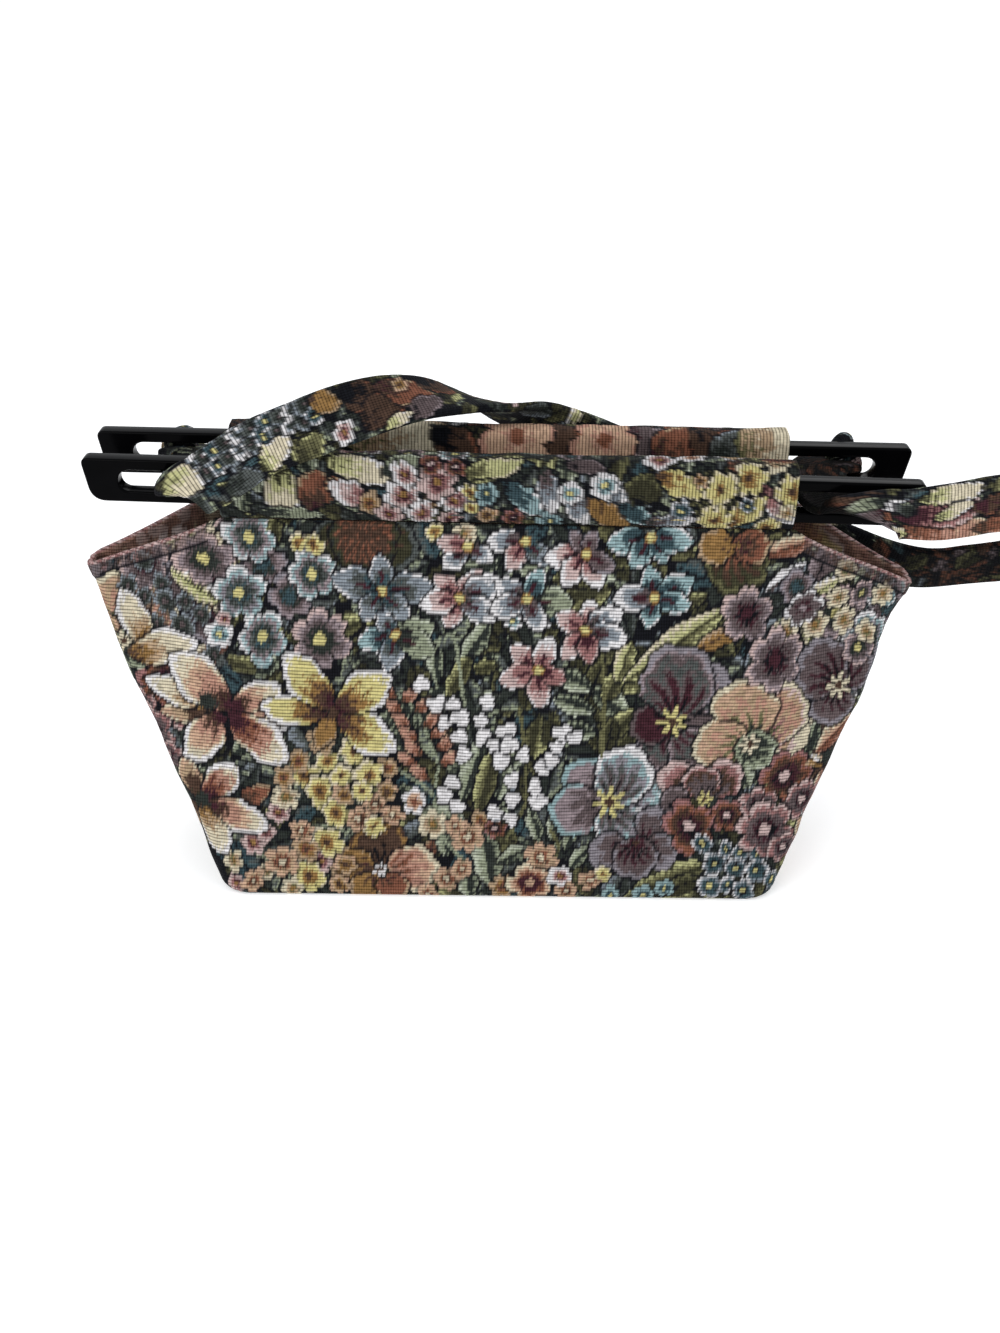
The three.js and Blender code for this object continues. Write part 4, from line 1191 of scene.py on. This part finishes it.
def build_bar(side, material):
    """A moulded bar with eased edges and a slot near each end."""
    curve = bpy.data.curves.new(f"{side.name}_bar_outline", "CURVE")
    curve.dimensions = "2D"
    curve.fill_mode = "BOTH"
    curve.extrude = (BAR.thickness / 2 - BAR.bevel) * MM
    curve.bevel_depth = BAR.bevel * MM
    curve.bevel_resolution = 3
    curve.offset = -BAR.bevel * MM
    for spots in (bar_outline(), slot_outline(-1), slot_outline(1)):
        spline = curve.splines.new("POLY")
        spline.points.add(len(spots) - 1)
        for point, (x, y) in zip(spline.points, spots):
            point.co = (x * MM, y * MM, 0, 1)
        spline.use_cyclic_u = True
    drawn = bpy.data.objects.new(curve.name, curve)
    mesh = bpy.data.meshes.new_from_object(drawn)
    bpy.data.objects.remove(drawn)
    bpy.data.curves.remove(curve)
    turn = Matrix.Rotation(side.yaw, 4, "Z") @ Matrix.Translation((0, 0, side.z * MM))
    turn = turn @ Matrix.Rotation(side.dip, 4, "Y") @ Matrix.Rotation(math.pi / 2, 4, "X")
    mesh.transform(Matrix.Translation((side.x * MM, side.y * MM, 0)) @ turn)
    mesh.polygons.foreach_set("use_smooth", np.ones(len(mesh.polygons), bool))
    mesh.set_sharp_from_angle(angle=math.radians(40))
    mesh.materials.clear()
    mesh.materials.append(material)
    ride_bag(f"{side.name}_frame_bar", mesh, f"{side.name}_bar")


# Strap


def route_curve(rows, steps):
    """A smooth curve through rows of points, with spans eased by their lengths, at steps for each span."""
    rows = np.array(rows, float)
    rows = np.concatenate([[2 * rows[0] - rows[1]], rows, [2 * rows[-1] - rows[-2]]])
    curve = []
    for before, start, end, after in zip(rows, rows[1:], rows[2:], rows[3:]):
        pairs = ((before, start), (start, end), (end, after))
        left, middle, right = (max(math.sqrt(math.dist(*pair)), 1e-4) for pair in pairs)
        leave = ((start - before) / left - (end - before) / (left + middle) + (end - start) / middle) * middle
        enter = ((end - start) / middle - (after - start) / (middle + right) + (after - end) / right) * middle
        for t in np.linspace(0, 1, steps, endpoint=False):
            curve.append(
                (2 * t ** 3 - 3 * t ** 2 + 1) * start + (t ** 3 - 2 * t ** 2 + t) * leave
                + (3 * t ** 2 - 2 * t ** 3) * end + (t ** 3 - t ** 2) * enter)
    curve.append(rows[-2])
    return np.array(curve)


def strap_frames(spacing):
    """Evenly spaced middles along the strap, with its run, its width's direction and its face's."""
    steps = 60
    middles = route_curve([stop.at for stop in STRAP_ROUTE], steps)
    edges = route_curve([stop.edge for stop in STRAP_ROUTE], steps)
    along = np.concatenate([[0], np.cumsum(np.linalg.norm(np.diff(middles, axis=0), axis=1))])
    places = np.linspace(0, along[-1], round(along[-1] / spacing) + 1)
    at = np.column_stack([np.interp(places, along, middles[:, axis]) for axis in range(3)])
    edge = np.column_stack([np.interp(places, along, edges[:, axis]) for axis in range(3)])
    run = np.gradient(at, axis=0)
    run /= np.linalg.norm(run, axis=1)[:, None]
    square = edge - (edge * run).sum(axis=1)[:, None] * run
    length = np.linalg.norm(square, axis=1)[:, None]
    aslant = np.exp(-((places - FOLD.place) / FOLD.reach) ** 2)[:, None]
    width = mix(square / length, edge * np.minimum(1 / length, FOLD.stretch), aslant)
    face = np.cross(run, width)
    return places, at, width, face / np.linalg.norm(face, axis=1)[:, None]


def build_strap(material):
    """The folded strap: a flat, soft-edged band that follows the route from knot to knot."""
    half, thick = STRAP.width / 2, STRAP.thickness / 2
    corner = STRAP.corner
    # The loop starts at the middle of the face that is hidden on the left run, where the fold is joined.
    outline = [(0, -thick, 0.01), (half, -thick, corner), (half, thick, corner), (-half, thick, corner),
               (-half, -thick, corner)]
    section, round_places = rounded_loop(outline, round(STRAP_GIRTH / STEP))
    girth = round_places[-1] + round_places[1]
    places, at, width, face = strap_frames(RIB)
    pillow = 0.25 * np.cos(section[:, 0] / half * np.pi / 2) * np.sign(section[:, 1])
    wave = ripple(section[None, :, 0], places[:, None], SEEDS.strap_ripple, STRAP_RIPPLES)
    across = section[None, :, 0] * (1 + 0.012 * np.sin(places[:, None] / 9))
    out = section[None, :, 1] + pillow[None, :] + wave
    points = at[:, None, :] + across[..., None] * width[:, None, :] + out[..., None] * face[:, None, :]
    rows, columns = out.shape
    quads = grid_faces(rows, columns, wrap_columns=True)
    caps = [list(range(columns)), list(range((rows - 1) * columns, rows * columns))[::-1]]
    lap = round_places - girth / 2
    place_grid = np.tile(places[:, None] - STRAP_START, (1, columns))
    canvas = Canvas(-np.tile(lap, rows), place_grid, SEEDS.strap, ragged=1.5)
    end = places[-1]
    canvas.undergrowth(STRAP_LEAVES, (-STRAP_ROUND, 0, STRAP_ROUND, end), STRAP_LEAF)
    # Darker leaves as painted shade where the strap lies behind the bag and from the right slot on
    canvas.undergrowth(*STRAP_BACK_LEAVES, BROWN_AND_SHADE_LEAVES)
    slot_bounds = (-STRAP_ROUND, SHADE.slot_start[0], STRAP_ROUND, end)
    canvas.undergrowth(STRAP_SLOT_LEAVES, slot_bounds, STRAP_LEAF, BROWN_AND_SHADE_LEAVES)
    for strewn in STRAP_FLOWERS:
        canvas.scatter(*strewn)
    for index, place in enumerate(np.arange(BLOSSOMS.first, BLOSSOMS.last, BLOSSOMS.spacing)):
        for lane, across in enumerate(BLOSSOMS.lanes):
            kind = BLOSSOMS.kinds[(index + lane) % len(BLOSSOMS.kinds)]
            spot = place + lane * BLOSSOMS.spacing / 2
            canvas.bloom((across, spot, BLOSSOMS.radius), kind, as_is, 1)
    canvas.petals(STRAP_PETALS, as_is, 1)
    canvas.blooms(STRAP_BLOOMS, as_is, 1)
    cloth = np.column_stack([np.tile(lap, rows), place_grid.ravel()])
    shadow = SHADE.behind * smooth(*SHADE.behind_start, place_grid) * smooth(*SHADE.behind_end, place_grid)
    shadow += SHADE.slot * smooth(*SHADE.slot_start, place_grid)
    shadow -= SHADE.between * smooth(*SHADE.between_start, place_grid)
    canvas.colour *= (1 - shadow).reshape(-1, 1)
    add_piece(
        "strap", "shoulder_strap", material, points.reshape(-1, 3), quads, caps,
        canvas.woven(), cloth)


def build_knot(name, stop, half_height, material, seed):
    """The strap's end tied in an overhand knot behind the bar: a flattened three-lobed winding."""
    depth = BACK.y + BAR.thickness / 2 + GAP + KNOT.half_depth
    centre = np.array((stop.at[0], depth, stop.at[2] + KNOT.drop))
    turns = np.linspace(0, 2 * np.pi, 160, endpoint=False)
    band = Sizes(half_width=4.2, half_thick=2.1)
    path = np.column_stack([
        (KNOT.half_width - band.half_width) * (np.sin(turns) + 2 * np.sin(2 * turns)) / 2.7,
        -(KNOT.half_depth - band.half_thick) * np.sin(3 * turns),
        (half_height - band.half_width) * (2 * np.cos(2 * turns) - np.cos(turns)) / 3,
    ])
    run = np.roll(path, -1, axis=0) - np.roll(path, 1, axis=0)
    run /= np.linalg.norm(run, axis=1)[:, None]
    face = np.tile((0.0, 1.0, 0.0), (len(path), 1))
    face -= (face * run).sum(axis=1)[:, None] * run
    face /= np.linalg.norm(face, axis=1)[:, None]
    width = np.cross(face, run)
    angles = np.linspace(0, 2 * np.pi, 40, endpoint=False)
    across = band.half_width * np.sign(np.cos(angles)) * np.abs(np.cos(angles)) ** 0.7
    out = band.half_thick * np.sign(np.sin(angles)) * np.abs(np.sin(angles)) ** 0.8
    points = centre + path[:, None, :] + across[None, :, None] * width[:, None, :]
    points = points + out[None, :, None] * face[:, None, :]
    rows, columns = points.shape[:2]
    quads = grid_faces(rows, columns, True, True)
    left, low, right, high = KNOT_STREWN[1]
    lengthwise = np.linspace(low, high, rows)[:, None] + 0 * across[None, :]
    crosswise = 0 * lengthwise + np.linspace(left, right, columns)[None, :]
    canvas = Canvas(crosswise, lengthwise, seed)
    canvas.undergrowth(*KNOT_STREWN)
    canvas.scatter(*KNOT_STREWN)
    cloth = np.column_stack([crosswise.ravel(), lengthwise.ravel()])
    add_piece(
        name, None, material, points.reshape(-1, 3), quads, (), canvas.woven(), cloth)


# Materials


class Nodes:
    """Adds nodes to one material, each with its inputs given as values or as other nodes' outputs."""

    def __init__(self, name):
        self.material = bpy.data.materials.new(name)
        self.material.use_nodes = True
        self.tree = self.material.node_tree
        self.shader = self.tree.nodes["Principled BSDF"]

    def put(self, socket, value):
        if isinstance(value, bpy.types.NodeSocket):
            self.tree.links.new(value, socket)
        else:
            socket.default_value = value

    def add(self, kind, inputs=(), output=0, **settings):
        node = self.tree.nodes.new("ShaderNode" + kind)
        for key, value in settings.items():
            setattr(node, key, value)
        for index, value in enumerate(inputs):
            if value is not None:
                self.put(node.inputs[index], value)
        return node.outputs[output]

    def math(self, operation, *values):
        return self.add("Math", values, operation=operation)

    def span(self, value, low, high, start=0.0, end=1.0):
        return self.add("MapRange", (value, low, high, start, end))

    def shade(self, **values):
        for name, value in values.items():
            self.put(self.shader.inputs[name.replace("_", " ")], value)


def tapestry_material(name):
    """The chart's yarns in ribs of weft with dark grooves, uneven floats and fine warp threads."""
    nodes = Nodes(name)
    woven = nodes.add("Attribute", attribute_name="woven")
    threads = nodes.add("Attribute", attribute_name="threads", output=1)
    split = nodes.tree.nodes.new("ShaderNodeSeparateXYZ")
    nodes.put(split.inputs[0], threads)
    crosswise, lengthwise = split.outputs[0], split.outputs[1]
    rib = nodes.math("ADD", nodes.math("DIVIDE", lengthwise, RIB), 0.5)
    groove = nodes.span(nodes.math("PINGPONG", rib, 0.5), 0.04, 0.24, 1.0, 0.0)
    warp = nodes.math("PINGPONG", nodes.math("DIVIDE", crosswise, 2 * THREAD), 0.5)
    light = nodes.add("RGBToBW", (woven,))
    bright = nodes.span(light, 0.02, 0.28)
    rib_number = nodes.math("FLOOR", rib)
    shift = nodes.math("MULTIPLY", rib_number, 0.37)
    shifted = nodes.math("ADD", nodes.math("DIVIDE", crosswise, FLOAT), shift)
    float_number = nodes.add("CombineXYZ", (nodes.math("FLOOR", shifted), rib_number))
    uneven = nodes.span(nodes.add("TexWhiteNoise", (float_number,)), 0.0, 1.0, 0.84, 1.16)
    groove_depth = nodes.math("MULTIPLY", groove, nodes.span(bright, 0.0, 1.0, 0.28, 0.62))
    warp_depth = nodes.math("MULTIPLY", nodes.span(warp, 0.12, 0.4), nodes.span(bright, 0.0, 1.0, 0.42, 0.1))
    shade = nodes.math("SUBTRACT", nodes.math("SUBTRACT", uneven, groove_depth), warp_depth)
    scaled = nodes.tree.nodes.new("ShaderNodeVectorMath")
    scaled.operation = "SCALE"
    nodes.put(scaled.inputs[0], woven)
    nodes.put(scaled.inputs["Scale"], nodes.math("MAXIMUM", shade, 0.06))
    fuzz = nodes.add("TexNoise", (threads, None, 1.7, 3.0, 0.6))
    height = nodes.math("SUBTRACT", nodes.math("MULTIPLY", fuzz, 0.3), nodes.math("ADD", groove, warp_depth))
    bump = nodes.add("Bump", (0.5, 0.4 * MM))
    nodes.put(bump.node.inputs["Height"], height)
    nodes.shade(
        Base_Color=scaled.outputs[0], Roughness=nodes.span(fuzz, 0.3, 0.7, 0.82, 0.95), Normal=bump,
        Sheen_Weight=0.02, Sheen_Roughness=0.5, Specular_IOR_Level=0.05)
    return nodes.material


def plastic_material():
    """Satin black moulding with a faint grain, fine scratches along the bar and rubbed patches."""
    nodes = Nodes("black_plastic")
    place = nodes.add("TexCoord", output=3)
    stretched = nodes.add("Mapping", (place, None, None, (30, 900, 900)))
    scratch = nodes.add("TexNoise", (stretched, None, 2.0, 4.0, 0.6))
    patches = nodes.add("TexNoise", (place, None, 26.0, 4.0, 0.6))
    grain = nodes.add("TexNoise", (place, None, 900.0, 2.0, 0.5))
    rubbed = nodes.span(patches, 0.35, 0.7, 0.08, 0.22)
    rough = nodes.math("ADD", rubbed, nodes.span(scratch, 0.55, 0.75, 0.0, 0.18))
    black, worn = (0.0008, 0.0008, 0.001, 1), (0.002, 0.002, 0.0025, 1)
    tint = nodes.add("MixRGB", (nodes.span(patches, 0.4, 0.7), black, worn))
    height = nodes.math("ADD", nodes.math("MULTIPLY", grain, 0.4), nodes.math("MULTIPLY", scratch, 0.3))
    bump = nodes.add("Bump", (0.12, 0.15 * MM))
    nodes.put(bump.node.inputs["Height"], height)
    nodes.shade(Base_Color=tint, Roughness=rough, Normal=bump, IOR=1.1)
    return nodes.material


def floor_material():
    """Pale matt card that glows a little, so that it shows as white as the photograph's ground."""
    nodes = Nodes("pale_floor")
    place = nodes.add("TexCoord", output=3)
    cloud = nodes.add("TexNoise", (place, None, 3.0, 2.0, 0.5))
    tint = nodes.add("MixRGB", (cloud, (0.83, 0.83, 0.835, 1), (0.87, 0.87, 0.87, 1)))
    nodes.shade(
        Base_Color=tint, Roughness=0.75, Specular_IOR_Level=0.2, Emission_Color=(1, 1, 1, 1),
        Emission_Strength=0.42)
    return nodes.material


# Stage


def build_stage():
    mesh = bpy.data.meshes.new("floor")
    reach = 8
    corners = [(-reach, -reach, 0), (reach, -reach, 0), (reach, reach, 0), (-reach, reach, 0)]
    mesh.from_pydata(corners, [], [(0, 1, 2, 3)])
    mesh.materials.append(floor_material())
    add_object("floor", mesh)


def area_light(name, place, aim, size, power, colour):
    light = bpy.data.lights.new(name, "AREA")
    light.size = size
    light.energy = power
    light.color = colour
    lamp = add_object(name, light)
    lamp.location = place
    lamp.rotation_euler = (Vector(aim) - Vector(place)).to_track_quat("-Z", "Y").to_euler()


def build_light():
    world = bpy.data.worlds.new("studio")
    world.use_nodes = True
    sky = world.node_tree.nodes["Background"]
    sky.inputs["Color"].default_value = (0.95, 0.97, 1.0, 1)
    sky.inputs["Strength"].default_value = 0.8
    bpy.context.scene.world = world
    middle = (0, 0, 0.1)
    area_light("window", (-0.9, -1.3, 1.3), middle, 1.2, 12.5, (1.0, 0.985, 0.96))
    area_light("fill", (1.3, -0.9, 0.8), middle, 1.2, 2.5, (0.95, 0.97, 1.0))
    area_light("back", (0.2, 1.3, 1.1), middle, 1.0, 4.5, (1.0, 1.0, 1.0))
    bpy.context.scene.view_settings.view_transform = "Standard"


# The photograph's camera: raised and rolled a little, aimed at the bag's middle
CAMERA = Sizes(raised=27, distance=720, aim=(0, 0, 80.36), roll=0.7, focal_pixels=1649.2, frame_pixels=1000)


def build_camera():
    camera = bpy.data.cameras.new("camera")
    camera.sensor_fit = "HORIZONTAL"
    camera.sensor_width = 36
    camera.lens = CAMERA.focal_pixels * camera.sensor_width / CAMERA.frame_pixels
    camera.clip_start = 0.01
    camera.clip_end = 50
    holder = add_object("camera", camera)
    raised = math.radians(CAMERA.raised)
    aim = Vector(CAMERA.aim)
    holder.location = (aim + CAMERA.distance * Vector((0, -math.cos(raised), math.sin(raised)))) * MM
    tilt = Matrix.Rotation(math.pi / 2 - raised, 3, "X") @ Matrix.Rotation(math.radians(CAMERA.roll), 3, "Z")
    holder.rotation_euler = tilt.to_euler()
    bpy.context.scene.camera = holder


build_camera()
build_stage()
build_light()

tapestry = tapestry_material("tapestry")
sleeve_cloth = tapestry_material("tapestry_sleeve")
strap_cloth = tapestry_material("tapestry_strap")
plastic = plastic_material()

# Each wall repeats the flower chart, moved along and up the cloth by these millimetres
build_panel(FRONT, tapestry, [(-262, 34), (262, -22), (0, 0)])
build_panel(BACK, tapestry, [(-150, -70), (-130, 62), (190, 66), (128, -58)])
build_base(tapestry)
build_sleeve(FRONT, sleeve_cloth, paint_front_sleeve)
build_sleeve(BACK, sleeve_cloth, paint_back_sleeve)
for bar_side in (FRONT, BACK):
    build_bar(bar_side, plastic)
build_strap(strap_cloth)
build_knot("left_knot", STRAP_ROUTE[0], KNOT.left_half_height, strap_cloth, SEEDS.left_knot)
build_knot("right_knot", STRAP_ROUTE[-1], KNOT.right_half_height, strap_cloth, SEEDS.right_knot)
